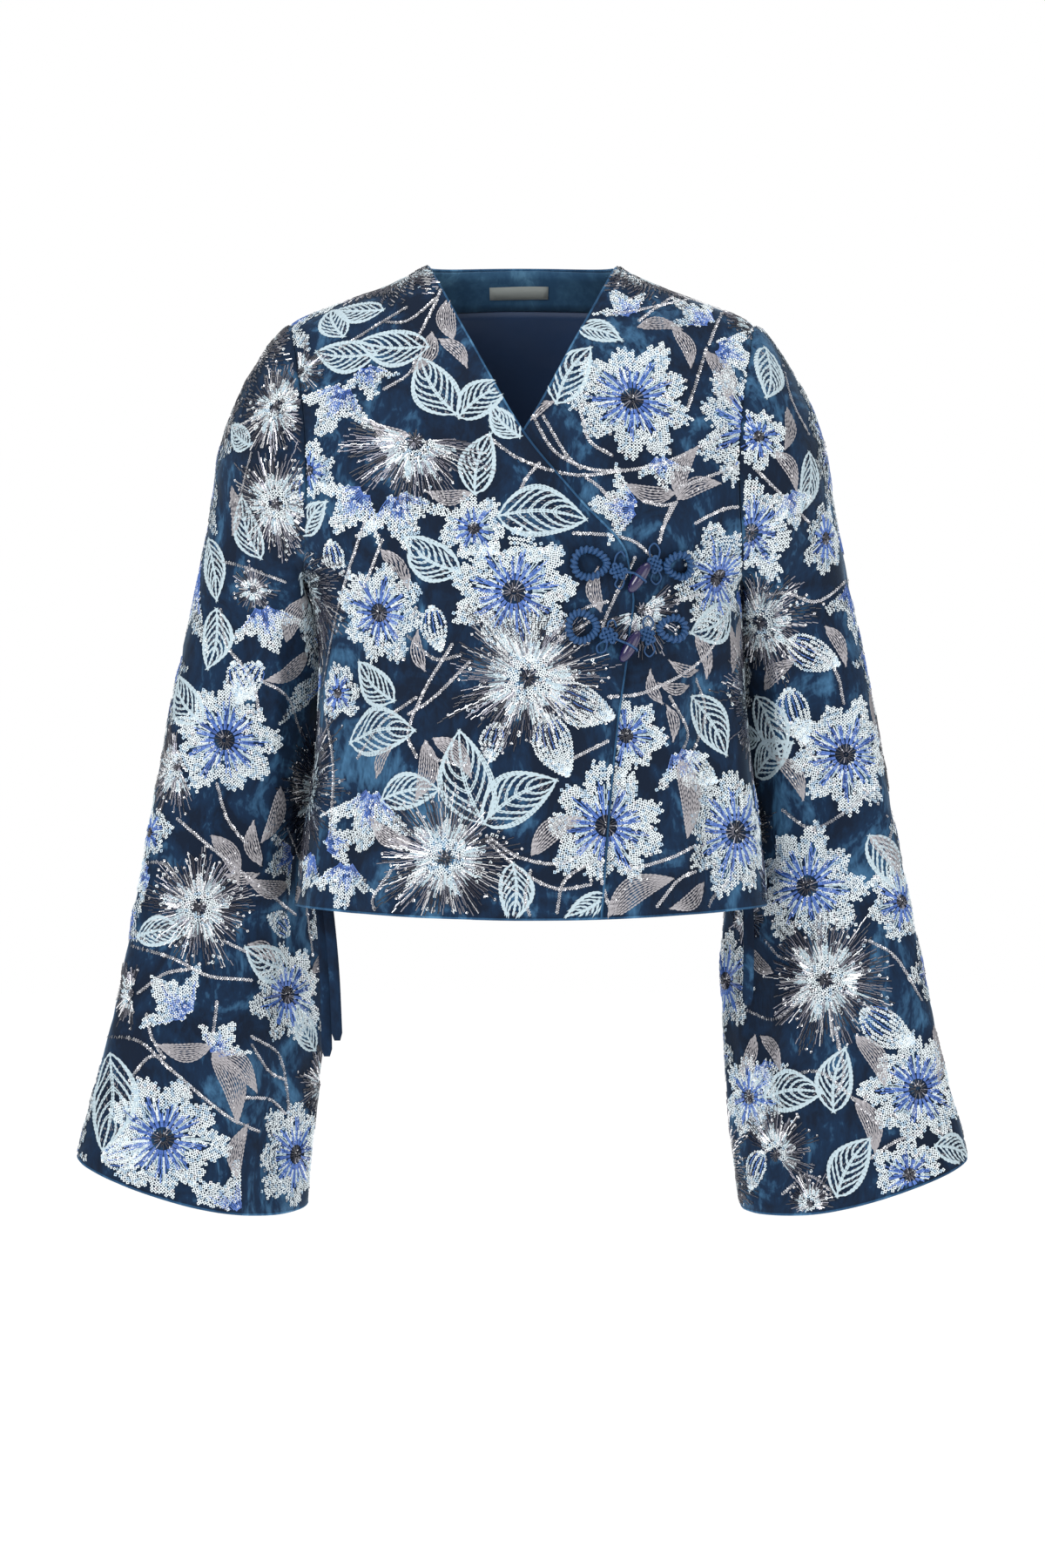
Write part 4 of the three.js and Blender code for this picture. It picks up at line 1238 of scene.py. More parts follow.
@dataclass(frozen=True)
class LeafShape:
    """A leaf along a gently bent midrib, its foot at the origin."""

    length: float
    width: float
    bend: float

    def rib(self, u: Array) -> tuple[Array, Array]:
        """Returns the midrib's points at shares of its length."""
        return self.length * u, self.bend * self.length * np.sin(math.pi * u) * 0.5

    def half(self, u: Array) -> Array:
        """Returns half the leaf's width at shares of its length."""
        return 0.5 * self.width * np.sin(math.pi * np.clip(u, 0, 1) ** 0.82) ** 0.8

    def line(self, side: float, inset: float, count: int) -> tuple[Array, Array, Array]:
        """Returns a line that follows the edge.

        Args:
            side: 1 or -1, and shares between for lines nearer to the midrib.
            inset: how far the line's ends stand in from the leaf's, as a share.
            count: how many points it has.

        Returns:
            Two coordinates and the direction at each point.
        """
        u = np.linspace(inset, 1 - inset, count)
        x, y = self.rib(u)
        y = y + side * self.half(u)
        return x, y, np.arctan2(np.gradient(y), np.gradient(x))


def row_of(
    rng: Rng, bit: Bit, finish: Finish, line: tuple[Array, Array, Array], size: tuple[float, float, float]
) -> Stitches:
    """Returns a row of small shapes along a line, each as long as it is far from the next."""
    x, y, angle = line
    step = np.hypot(np.gradient(x), np.gradient(y))
    length, width, thick = size
    jitter = rng.normal(0, 0.07, len(x))
    return set_of(bit, finish, x, y, angle + jitter, np.maximum(step * length, 0.6), width, thick)


def open_leaf(rng: Rng, size: float, turn: float) -> list[Stitches]:
    """Stitches a leaf of pale thread: a thick outline, a midrib, curved veins and fine hatching."""
    size = 1.2 * size
    leaf = LeafShape(size, size * 0.60, 0.16)
    count = int(size / 3.0)
    made = []
    for side in (1.0, 0.93, 0.86, -1.0, -0.93, -0.86, 0.04, -0.04):
        inset = 0.01 if abs(side) > 0.5 else 0.02
        line = leaf.line(side, inset, count)
        made.append(row_of(rng, Bit.GRAIN, Finish.THREAD_WHITE, line, (1.6, 1.8, 1.3)))
    for start in np.linspace(0.06, 0.62, 5):
        for side in (1.0, -1.0):
            for shift in (0.0, 0.028):
                v = np.linspace(0.0, 1.0, max(int(size * 0.13), 4))
                u = start + shift + 0.34 * v**1.5
                x, y = leaf.rib(u)
                y = y + side * leaf.half(u) * v * 0.86
                line = (x, y, np.arctan2(np.gradient(y), np.gradient(x)))
                made.append(row_of(rng, Bit.GRAIN, Finish.THREAD_WHITE, line, (1.5, 1.4, 1.0)))
    hatch = int(size * size * 0.03)
    u, v = rng.uniform(0.06, 0.92, hatch), rng.uniform(-0.85, 0.85, hatch)
    x, y = leaf.rib(u)
    made.append(set_of(Bit.GRAIN, Finish.THREAD_GREY, x, y + leaf.half(u) * v, 0.1, 2.4, 0.5, 0.5))
    return turned(made, turn)


def solid_leaf(rng: Rng, size: float, turn: float) -> list[Stitches]:
    """Stitches a grey leaf filled with lines of fine beads that follow its edge."""
    size = 1.06 * size
    leaf = LeafShape(size, size * 0.34, 0.26)
    lines = max(int(leaf.width / 2 / 1.7), 2)
    made = []
    for k in range(lines + 1):
        share = 1 - k / lines
        for side in (share, -share) if k < lines else (0.0,):
            count = max(int(size * (0.55 + 0.45 * share) / 3.0), 4)
            line = leaf.line(side, 0.01 + 0.06 * (1 - share), count)
            made.append(row_of(rng, Bit.GRAIN, Finish.THREAD_GREY, line, (1.4, 1.65, 1.3)))
    shine = leaf.line(rng.choice((0.5, -0.5)), 0.2, max(int(size / 7), 3))
    made.append(sequins(Finish.SEQUIN_SILVER, *shine[:2], 0.0, SEQUIN_SIZES["leaf"], LOOSE_TILT))
    return turned(made, turn)


def striped_petal(rng: Rng, size: float, turn: float) -> list[Stitches]:
    """Stitches a single petal of white sequins with blue rays from its foot."""
    leaf = LeafShape(size, size * 0.56, -0.12)
    made = []
    lines = max(int(leaf.width / 2.6), 5)
    for k, side in enumerate(np.linspace(-1.0, 1.0, lines)):
        x, y, angle = leaf.line(side, 0.02, max(int(size / 2.1), 6))
        x, y = x + rng.uniform(-0.5, 0.5, len(x)), y + rng.uniform(-0.3, 0.3, len(x))
        blue = (k % 2 == 1) & (x > 0.12 * size) & (x < size * (rng.uniform(0.52, 0.66) - 0.28 * abs(side)))
        for finish, mask in split_by(WHITES, rng, len(x)):
            mask = mask & ~blue
            part = (x[mask], y[mask], angle[mask])
            made.append(sequins(finish, *part, SEQUIN_SIZES["petal"], FLAT_TILT))
        if blue.sum() > 1:
            line = (x[blue], y[blue], angle[blue])
            made.append(row_of(rng, Bit.BUGLE, Finish.BUGLE_BLUE, line, (0.94, 0.8, 0.8)))
    return turned([each for each in made if len(each.a)], turn)


def turned(stitches: list[Stitches], turn: float) -> list[Stitches]:
    """Returns stitches turned about their motif's centre."""
    cosine, sine = math.cos(turn), math.sin(turn)
    for each in stitches:
        each.a, each.b = each.a * cosine - each.b * sine, each.a * sine + each.b * cosine
        each.angle = each.angle + turn
    return stitches


class Kind(Enum):
    """The kinds of motif."""

    FLOWER = "flower"
    METAL = "metal"
    HALF_METAL = "half_metal"
    BLOSSOM = "blossom"
    OPEN_LEAF = "open_leaf"
    LEAF = "leaf"
    PETAL = "petal"


MAKERS: dict[Kind, Callable[[Rng, float, float], list[Stitches]]] = {
    Kind.FLOWER: pale_flower,
    Kind.METAL: metal_flower,
    Kind.HALF_METAL: lambda rng, radius, turn: metal_flower(rng, radius, turn, math.radians(105)),
    Kind.BLOSSOM: side_blossom,
    Kind.OPEN_LEAF: open_leaf,
    Kind.LEAF: solid_leaf,
    Kind.PETAL: striped_petal,
}
# The kinds' short names in the tables: F flower, M metal flower, H half a metal flower, B side blossom,
# O open leaf, L leaf and P petal.
F, M, H, B, O, L, P = Kind

# One row for each motif: its kind, its place in the photograph's frame, its size in pixels and the way
# that it points in degrees, 0 to the right and 90 up. A leaf's or blossom's place is its foot.
Motif = tuple[Kind, float, float, float, float]
FRONT_MOTIFS: tuple[Motif, ...] = (
    (F, 727, 458, 69, 20), (F, 591, 679, 70, 5), (F, 437, 703, 56, 30), (F, 697, 948, 66, 60),
    (F, 846, 955, 70, 10), (F, 824, 662, 62, 0), (F, 868, 492, 72, 40), (F, 545, 606, 37, 50),
    (H, 478, 506, 74, -100), (M, 607, 778, 84, 205), (M, 512, 985, 74, 15), (H, 737, 700, 50, -60),
    (B, 400, 438, 66, -110), (B, 430, 900, 74, -100), (B, 400, 985, 56, -95), (B, 362, 975, 52, -110),
    (B, 738, 584, 56, 175), (B, 757, 520, 40, -80), (B, 775, 858, 52, -60), (B, 818, 396, 58, -25),
    (B, 425, 558, 62, -130), (B, 455, 560, 66, -75), (B, 730, 365, 44, 120), (O, 524, 475, 70, 120),
    (O, 528, 478, 58, 35), (O, 432, 406, 60, 175), (O, 492, 398, 68, 170), (O, 440, 356, 52, 170),
    (O, 395, 386, 48, 120), (O, 640, 462, 66, 60), (O, 546, 566, 58, 75), (O, 574, 592, 80, -2),
    (O, 528, 656, 62, 150), (O, 453, 804, 56, 140), (O, 404, 852, 74, 8), (O, 440, 918, 56, 10),
    (O, 556, 944, 88, 105), (O, 556, 944, 78, 30), (O, 590, 992, 54, -92), (O, 796, 800, 66, -55),
    (O, 838, 700, 60, -160), (P, 635, 790, 78, -25), (P, 628, 820, 74, -70), (P, 572, 830, 44, -100),
    (P, 790, 866, 54, -35), (P, 380, 620, 50, -80), (P, 920, 395, 60, -50), (L, 497, 383, 50, -110),
    (L, 507, 390, 44, -50), (L, 470, 500, 44, 160), (L, 612, 480, 30, 40), (L, 540, 566, 44, 178),
    (L, 490, 852, 62, -100), (L, 500, 848, 56, -45), (L, 612, 980, 66, 35), (L, 472, 968, 54, 150),
    (L, 700, 1052, 80, 30), (L, 800, 770, 36, 165), (L, 790, 788, 34, 175), (L, 760, 806, 34, 110),
    (L, 768, 812, 34, -80), (L, 782, 872, 82, -85), (L, 812, 404, 64, -75), (L, 735, 375, 46, 0),
    (L, 778, 568, 56, 65), (L, 780, 572, 50, 20), (L, 775, 566, 52, 170), (L, 690, 700, 44, 92),
    (L, 488, 768, 40, 100), (L, 440, 632, 46, -60), (L, 800, 730, 46, -70), (L, 434, 890, 36, 60),
    (L, 840, 720, 48, -100),
)
RIGHT_SLEEVE_MOTIFS: tuple[Motif, ...] = (
    (M, 318, 467, 54, 0), (M, 318, 578, 60, 20), (F, 259, 849, 62, 40), (F, 330, 1142, 56, 15),
    (F, 188, 1307, 70, 30), (F, 340, 1325, 60, 0), (H, 205, 880, 50, 200), (M, 229, 1041, 62, 10),
    (H, 152, 1140, 34, 180), (B, 300, 690, 60, -80), (B, 222, 1170, 62, 135), (B, 245, 1215, 44, 60),
    (B, 176, 1000, 44, 200), (O, 232, 828, 60, 130), (O, 160, 1075, 48, 8), (O, 330, 1112, 58, 160),
    (O, 128, 1210, 92, -85), (O, 362, 1205, 50, 120), (O, 300, 640, 60, 100), (O, 250, 700, 56, -100),
    (P, 345, 545, 52, -80), (P, 300, 760, 54, 240), (P, 118, 1330, 60, 20), (P, 268, 760, 50, -60),
    (L, 330, 735, 64, 70), (L, 323, 905, 60, -105), (L, 245, 960, 56, -60), (L, 300, 992, 46, 100),
    (L, 330, 1016, 56, 175), (L, 296, 1004, 34, 180), (L, 242, 1202, 56, 178), (L, 246, 1210, 78, -70),
    (L, 246, 1208, 66, -40), (L, 272, 1350, 56, 75), (L, 288, 1084, 40, -30), (L, 352, 470, 40, -60),
    (L, 268, 560, 50, -100),
)
LEFT_SLEEVE_MOTIFS: tuple[Motif, ...] = (
    (F, 862, 611, 60, 10), (F, 972, 866, 64, 30), (F, 928, 1017, 66, 0), (F, 1055, 1250, 62, 20),
    (F, 862, 1259, 46, 40), (F, 948, 618, 40, 10), (F, 1036, 1035, 44, 40), (M, 874, 715, 62, 0),
    (M, 949, 1125, 72, 15), (H, 893, 1325, 52, 60), (B, 872, 1215, 48, -60), (B, 905, 560, 50, -60),
    (B, 1010, 690, 40, -90), (O, 870, 800, 66, -70), (O, 880, 1260, 66, 5), (O, 958, 1275, 60, 80),
    (O, 962, 1372, 62, 60), (O, 1000, 960, 60, -60), (O, 880, 400, 60, -120), (O, 930, 520, 56, -100),
    (O, 870, 890, 56, 30), (P, 905, 735, 66, -20), (P, 905, 790, 66, -70), (P, 990, 1160, 72, -30),
    (P, 870, 1240, 48, -80), (P, 1020, 760, 52, -80), (L, 880, 790, 50, 30), (L, 893, 870, 52, -60),
    (L, 1000, 960, 60, -50), (L, 868, 1190, 46, -120), (L, 876, 1190, 46, -50), (L, 985, 1190, 60, -60),
    (L, 985, 1262, 60, -70), (L, 1080, 1180, 60, -100), (L, 950, 720, 46, -60), (L, 905, 470, 46, -110),
    (L, 1010, 830, 50, 60),
)
# Seen from behind, in the same frame.
BACK_MOTIFS: tuple[Motif, ...] = (
    (F, 520, 430, 66, 10), (F, 700, 560, 70, 30), (F, 470, 700, 62, 0), (F, 760, 800, 60, 40),
    (F, 560, 930, 64, 20), (F, 420, 500, 44, 10), (F, 800, 430, 48, 20), (F, 420, 960, 48, 40),
    (M, 640, 760, 62, 0), (M, 400, 830, 50, 30), (H, 590, 560, 56, 140), (H, 800, 960, 56, 250),
    (M, 690, 400, 40, 10), (B, 560, 800, 60, -100), (B, 680, 960, 60, -70), (B, 830, 620, 56, -100),
    (B, 600, 400, 46, -80), (O, 600, 500, 66, 60), (O, 470, 590, 66, -60), (O, 800, 700, 66, 110),
    (O, 520, 830, 66, 200), (O, 700, 880, 70, -50), (O, 620, 1030, 56, 60), (O, 450, 390, 56, 200),
    (O, 740, 370, 56, 20), (P, 780, 560, 66, -40), (P, 380, 640, 56, -80), (P, 650, 850, 56, -120),
    (L, 560, 620, 60, -100), (L, 640, 640, 56, -60), (L, 480, 800, 50, 160), (L, 740, 690, 50, 190),
    (L, 840, 870, 60, -80), (L, 500, 1030, 60, 30), (L, 740, 1010, 60, 20), (L, 380, 730, 50, -70),
    (L, 650, 480, 46, 20), (L, 560, 370, 40, -40),
)
SLEEVE_BACK_MOTIFS: tuple[Motif, ...] = (
    (F, 900, 560, 54, 10), (F, 940, 830, 58, 30), (F, 1020, 1060, 56, 0), (F, 920, 1240, 58, 20),
    (M, 920, 700, 50, 10), (M, 960, 980, 50, 40), (H, 1040, 1230, 52, 250), (B, 880, 440, 56, -80),
    (B, 1000, 740, 50, -70), (B, 880, 1100, 56, -90), (O, 960, 620, 60, -70), (O, 900, 900, 62, 100),
    (O, 1010, 930, 60, -60), (O, 960, 1330, 60, 60), (O, 860, 620, 56, -100), (P, 1060, 1150, 60, -60),
    (P, 900, 1000, 56, -100), (L, 930, 500, 50, -80), (L, 990, 860, 56, -60), (L, 900, 1180, 56, 150),
    (L, 1040, 1340, 50, 100), (L, 880, 790, 50, 110),
)

# Branching stems, each a list of places in the same frame.
Stem = tuple[Pair, ...]
FRONT_STEMS: tuple[Stem, ...] = (
    ((612, 476), (640, 520), (690, 540), (760, 532), (830, 500)),
    ((560, 500), (600, 528), (660, 545), (720, 540)), ((625, 478), (650, 520), (668, 538)),
    ((668, 474), (678, 506), (706, 524)), ((706, 578), (690, 560), (674, 548)),
    ((600, 560), (606, 548), (622, 530)), ((480, 390), (500, 350), (512, 320)),
    ((440, 370), (470, 368), (505, 340)), ((392, 400), (430, 376), (470, 352)),
    ((480, 408), (470, 430), (440, 448)), ((700, 362), (740, 355), (800, 342), (850, 330)),
    ((735, 368), (760, 350), (790, 330)), ((815, 395), (830, 360), (850, 340)),
    ((740, 575), (760, 580), (775, 578)), ((760, 610), (770, 590), (778, 575)),
    ((800, 600), (830, 585), (860, 580)), ((780, 560), (820, 545), (860, 530)),
    ((660, 612), (700, 614), (730, 622), (750, 640)), ((758, 622), (764, 600), (772, 580)),
    ((635, 730), (670, 700), (700, 690)), ((620, 750), (650, 730), (680, 712)),
    ((520, 740), (490, 790), (470, 840), (480, 870)), ((470, 730), (500, 756), (530, 752)),
    ((540, 760), (500, 800), (470, 820)), ((540, 880), (500, 870), (490, 850)),
    ((412, 870), (440, 830), (480, 800)), ((420, 600), (400, 660), (385, 720), (372, 790)),
    ((440, 620), (420, 670), (400, 690)), ((372, 800), (384, 880), (380, 960)),
    ((560, 960), (600, 985), (650, 990), (690, 960)), ((690, 985), (650, 1010), (640, 1050)),
    ((560, 965), (600, 1000), (640, 1020), (680, 1015)), ((610, 1000), (604, 1030), (610, 1054)),
    ((660, 870), (680, 860), (700, 850)), ((720, 1000), (770, 985), (800, 970)),
    ((700, 1040), (690, 1000), (698, 980)), ((756, 1040), (780, 1010), (800, 1000)),
    ((700, 800), (740, 795), (790, 770), (820, 740), (836, 700)), ((770, 800), (790, 840), (780, 870)),
    ((800, 780), (810, 820), (790, 880)), ((730, 640), (700, 700), (690, 730)),
    ((775, 690), (810, 682), (830, 690)), ((450, 1000), (430, 1030), (432, 1046)),
    ((840, 1010), (820, 1030), (812, 1046)), ((812, 400), (800, 440), (790, 470)),
)
RIGHT_SLEEVE_STEMS: tuple[Stem, ...] = (
    ((238, 640), (280, 650), (330, 668)), ((255, 700), (262, 740), (290, 780), (300, 830)),
    ((300, 780), (330, 800), (345, 840)), ((205, 940), (240, 970), (290, 1010), (340, 1050)),
    ((250, 900), (262, 940), (285, 970)), ((170, 990), (190, 992), (208, 1015)),
    ((330, 950), (345, 990), (352, 1040), (360, 1100)), ((150, 1085), (200, 1100), (240, 1120), (290, 1125)),
    ((160, 1140), (190, 1118), (220, 1112)), ((120, 1190), (160, 1195), (200, 1230), (260, 1280), (300, 1300)),
    ((170, 1165), (175, 1190), (190, 1215)), ((150, 1240), (170, 1215), (185, 1212)),
    ((250, 1150), (247, 1175), (244, 1198)), ((290, 1190), (320, 1210), (330, 1250), (332, 1280)),
    ((290, 1200), (310, 1230), (330, 1240)), ((280, 1260), (310, 1262), (328, 1278)),
    ((258, 1080), (290, 1095), (310, 1100)), ((290, 520), (280, 560), (270, 600)),
)
LEFT_SLEEVE_STEMS: tuple[Stem, ...] = (
    ((870, 540), (900, 570), (930, 600)), ((860, 690), (900, 680), (940, 690), (980, 660)),
    ((930, 740), (960, 770), (970, 810)), ((880, 830), (920, 850), (960, 900)),
    ((900, 930), (930, 950), (960, 940), (1010, 900)), ((880, 1080), (900, 1100), (930, 1100)),
    ((1000, 1080), (1030, 1100), (1060, 1150)), ((860, 1160), (890, 1170), (920, 1150)),
    ((960, 1180), (970, 1230), (960, 1260)), ((900, 1240), (940, 1230), (980, 1260), (1010, 1290)),
    ((900, 1370), (930, 1350), (960, 1370)), ((1000, 1330), (1030, 1310), (1060, 1300)),
    ((1030, 930), (1020, 980), (1030, 1000)), ((900, 420), (910, 460), (930, 500)),
)
BACK_STEMS: tuple[Stem, ...] = (
    ((540, 500), (600, 520), (660, 540)), ((500, 480), (480, 540), (460, 620), (470, 650)),
    ((620, 620), (600, 700), (560, 760), (520, 800)), ((760, 620), (790, 680), (780, 740)),
    ((720, 860), (690, 900), (640, 930)), ((450, 780), (440, 850), (470, 910), (510, 940)),
    ((640, 840), (620, 900), (600, 940)), ((820, 480), (840, 540), (830, 620)),
    ((640, 360), (690, 380), (740, 360), (800, 350)), ((460, 360), (500, 380), (560, 360)),
    ((830, 860), (850, 930), (830, 1000)), ((640, 1000), (690, 1020), (740, 1000)),
)
SLEEVE_BACK_STEMS: tuple[Stem, ...] = (
    ((890, 500), (930, 560), (960, 640)), ((900, 620), (920, 660), (930, 700)),
    ((960, 740), (980, 800), (960, 860)), ((940, 880), (920, 940), (900, 1000), (910, 1060)),
    ((1000, 1000), (1040, 1040), (1050, 1120)), ((900, 1120), (930, 1170), (950, 1220)),
    ((980, 1280), (1020, 1300), (1060, 1290)),
)


# Motifs for bare places: kind, size and how far the foot stands off the middle, as shares of the free radius.
LARGE_FILLERS = ((F, 1.0, 0.0), (M, 1.05, 0.0), (B, 1.9, 0.9))
MIDDLE_FILLERS = ((B, 1.9, 0.95), (O, 1.7, 1.0), (M, 1.1, 0.0), (P, 2.0, 1.0), (L, 2.1, 1.05))
SMALL_FILLERS = ((L, 2.2, 1.1), (O, 1.8, 1.08), (L, 2.2, 1.1), (P, 2.1, 1.05))


def seen_place(x: Array | float, y: Array | float) -> tuple[Array, Array]:
    """Returns millimetres to the right of the middle and up, for places in the photograph's frame."""
    return (np.asarray(x, float) - ORIGIN_PIXEL[0]) * PIXEL, (ORIGIN_PIXEL[1] - np.asarray(y, float)) * PIXEL


class Embroidery:
    """Gathers one panel's stitches and makes meshes of them."""

    def __init__(self, chart: Chart, hidden: Callable[[Array], Array] | None = None) -> None:
        """Starts with nothing stitched.

        Args:
            chart: the panel's cloth.
            hidden: which points lie under another panel, and so get no stitches.
        """
        self.chart = chart
        self.hidden = hidden
        self.sets: dict[tuple[Bit, Finish], list[Array]] = {}
        self.laid: list[Array] = []
        self.ranks = 0

    def keep_set(self, stitches: Stitches, s: Array, t: Array) -> None:
        """Lays stitches at places on the cloth, leaving out those that fall beside it."""
        ok = self.chart.inside(s, t)
        if not ok.any():
            return
        s, t = s[ok], t[ok]
        point, normal, right, up = self.chart.axes(s, t)
        if self.hidden is not None:
            seen = ~self.hidden(point)
            point, normal, right, up = point[seen], normal[seen], right[seen], up[seen]
            ok[np.flatnonzero(ok)[~seen]] = False
            if not ok.any():
                return
        rng = np.random.default_rng(len(s) * 7 + self.ranks)
        self.ranks += 1
        angle = stitches.angle[ok][:, None]
        along = np.cos(angle) * right + np.sin(angle) * up
        if stitches.tilt:
            lean = stitches.tilt * rng.normal(0.9, 0.55, len(angle))[:, None]
            roll = stitches.tilt * 0.6 * rng.normal(0.0, 1.0, len(angle))[:, None]
            side = np.cross(normal, along)
            normal = unit(normal - along * lean + side * roll)
            along = unit(along - normal * np.sum(along * normal, axis=1, keepdims=True))
        lift = 0.5 * stitches.thick if stitches.bit is not Bit.SEQUIN else 0.55
        rise = lift + rng.uniform(0.0, 0.35, len(angle))
        point = point + normal * rise[:, None]
        self.laid.append(point[::5])
        size = np.stack([stitches.length[ok], stitches.width[ok], np.full(len(angle), stitches.thick)], axis=-1)
        row = np.concatenate([point, along, normal, size], axis=1)
        self.sets.setdefault((stitches.bit, stitches.finish), []).append(row)

    def stitch(self, motifs: Sequence[Motif], behind: bool, seed: int) -> None:
        """Stitches motifs.

        Args:
            motifs: their rows.
            behind: whether their places are seen from behind.
            seed: the start of their chance.
        """
        places = np.array([[x, y] for _, x, y, _, _ in motifs])
        x, z = seen_place(places[:, 0], places[:, 1])
        s, t = self.chart.locate(x, z, behind)
        for k, (kind, _, _, size, turn) in enumerate(motifs):
            if not (-0.45 < t[k] < 1.3 and (self.chart.closed or -0.6 < s[k] < 1.6)):
                continue
            rng = np.random.default_rng(seed + 17 * k)
            for stitches in MAKERS[kind](rng, size * PIXEL, math.radians(turn)):
                self.keep_set(stitches, *self.chart.spread(s[k], t[k], stitches.a, stitches.b))

    def run_stems(self, stems: Sequence[Stem], behind: bool, seed: int) -> None:
        """Stitches stems of small overlapping sequins, with a few large bright ones."""
        for k, stem in enumerate(stems):
            rng = np.random.default_rng(seed + 31 * k)
            x, z = seen_place(*np.array(stem, float).T)
            knots = np.arange(len(x))
            fine = np.linspace(0, len(x) - 1, 60)
            smooth_x, smooth_z = (self.bend(knots, value, fine) for value in (x, z))
            run = np.concatenate([[0.0], np.cumsum(np.hypot(np.diff(smooth_x), np.diff(smooth_z)))])
            even = np.arange(0.0, run[-1], 1.9)
            px, pz = np.interp(even, run, smooth_x), np.interp(even, run, smooth_z)
            s, t = self.chart.locate(px, pz, behind)
            angle = np.arctan2(np.gradient(pz), np.gradient(px)) if len(px) > 1 else np.zeros(len(px))
            for finish, mask in split_by(STEM_SHADES, rng, len(px)):
                held = sequins(finish, px[mask], pz[mask], angle[mask], SEQUIN_SIZES["stem"], LOOSE_TILT)
                self.keep_set(held, s[mask], t[mask])
            bright = rng.choice(len(px), size=max(len(px) // 22, 1), replace=False)
            places = (px[bright], pz[bright])
            held = sequins(Finish.SEQUIN_SILVER, *places, 0.0, SEQUIN_SIZES["stem_end"], LOOSE_TILT)
            self.keep_set(held, s[bright], t[bright])

    def fill_gaps(self, seed: int, least: float = 15.0, most: int = 40) -> None:
        """Stitches further motifs into the largest bare places, away from the closures.

        Args:
            seed: the start of their chance.
            least: the radius of a bare place that is left alone, in millimetres.
            most: how many motifs are added at most.
        """
        rng = np.random.default_rng(seed)
        s, t = rng.uniform(0.01, 0.99, (2, 4000))
        place = self.chart.axes(s, t)[0]
        if self.hidden is not None:
            seen = ~self.hidden(place)
            s, t, place = s[seen], t[seen], place[seen]
        clear = np.all((place > (28.0, -200.0, -330.0)) & (place < (145.0, 0.0, -215.0)), axis=1)
        s, t, place = s[~clear], t[~clear], place[~clear]
        gap = self.distance(place, np.concatenate(self.laid))
        for _ in range(most):
            k = int(np.argmax(gap))
            room = float(gap[k])
            if room < least:
                break
            kinds = LARGE_FILLERS if room > 20 else (MIDDLE_FILLERS if room > 16.0 else SMALL_FILLERS)
            kind, size, shift = kinds[int(rng.integers(len(kinds)))]
            turn = rng.uniform(0.0, 2 * math.pi)
            known = len(self.laid)
            for stitches in MAKERS[kind](rng, size * room, turn):
                a = stitches.a - shift * room * math.cos(turn)
                b = stitches.b - shift * room * math.sin(turn)
                self.keep_set(stitches, *self.chart.spread(s[k], t[k], a, b))
            if len(self.laid) > known:
                gap = np.minimum(gap, self.distance(place, np.concatenate(self.laid[known:])))
            gap[k] = min(gap[k], 0.4 * room)

    @staticmethod
    def distance(places: Array, others: Array) -> Array:
        """Returns how far each place is from the nearest of the others."""
        nearest = np.full(len(places), np.inf)
        for first in range(0, len(others), 1500):
            part = others[first : first + 1500]
            square = np.sum(places**2, axis=1)[:, None] + np.sum(part**2, axis=1) - 2 * places @ part.T
            nearest = np.minimum(nearest, square.min(axis=1))
        return np.sqrt(np.maximum(nearest, 0.0))

    @staticmethod
    def bend(knots: Array, values: Array, fine: Array) -> Array:
        """Returns values between knots on a smooth bend."""
        padded = np.concatenate([[2 * values[0] - values[1]], values, [2 * values[-1] - values[-2]]])
        i = np.clip(fine.astype(int), 0, len(knots) - 2)
        u = fine - i
        p0, p1, p2, p3 = (padded[i + k] for k in range(4))
        return 0.5 * (
            2 * p1 + (p2 - p0) * u + (2 * p0 - 5 * p1 + 4 * p2 - p3) * u**2 + (3 * p1 - p0 - 3 * p2 + p3) * u**3
        )

    def mesh(self, name: str, finishes: Finishes, bits: Sequence[Bit]) -> Mesh:
        """Joins what is stitched so far.

        Args:
            name: the mesh's name.
            finishes: the jacket's materials.
            bits: which of the small shapes it holds.

        Returns:
            One mesh, with a material for each finish.
        """
        verts, loops, sizes, slots = [], [], [], []
        held = {key: rows for key, rows in self.sets.items() if key[0] in bits}
        order = sorted({finish for _, finish in held}, key=lambda finish: finish.value)
        base = 0
        in_order = sorted(held.items(), key=lambda item: (item[0][0].value, item[0][1].value))
        for (bit, finish), rows in in_order:
            table = np.concatenate(rows)
            shape, faces = bit_template(bit)
            point, along, normal, size = (table[:, k : k + 3] for k in (0, 3, 6, 9))
            across = np.cross(normal, along)
            scaled = shape[None] * size[:, None]
            placed = point[:, None] + scaled[..., :1] * along[:, None] + scaled[..., 1:2] * across[:, None]
            placed = placed + scaled[..., 2:] * normal[:, None]
            verts.append(placed.reshape(-1, 3))
            flat = np.concatenate(faces)
            offsets = base + np.arange(len(table)) * len(shape)
            loops.append((offsets[:, None] + flat[None]).reshape(-1))
            sizes.append(np.tile([len(face) for face in faces], len(table)))
            slots.append(np.full(len(table) * len(faces), order.index(finish)))
            base += len(table) * len(shape)
        mesh = bpy.data.meshes.new(name)
        points, corners = np.concatenate(verts) * MM, np.concatenate(loops)
        counts = np.concatenate(sizes)
        mesh.vertices.add(len(points))
        mesh.vertices.foreach_set("co", points.reshape(-1))
        mesh.loops.add(len(corners))
        mesh.loops.foreach_set("vertex_index", corners.astype(np.int32))
        mesh.polygons.add(len(counts))
        starts = np.concatenate([[0], np.cumsum(counts)[:-1]])
        mesh.polygons.foreach_set("loop_start", starts.astype(np.int32))
        mesh.polygons.foreach_set("material_index", np.concatenate(slots).astype(np.int32))
        mesh.update(calc_edges=True)
        for finish in order:
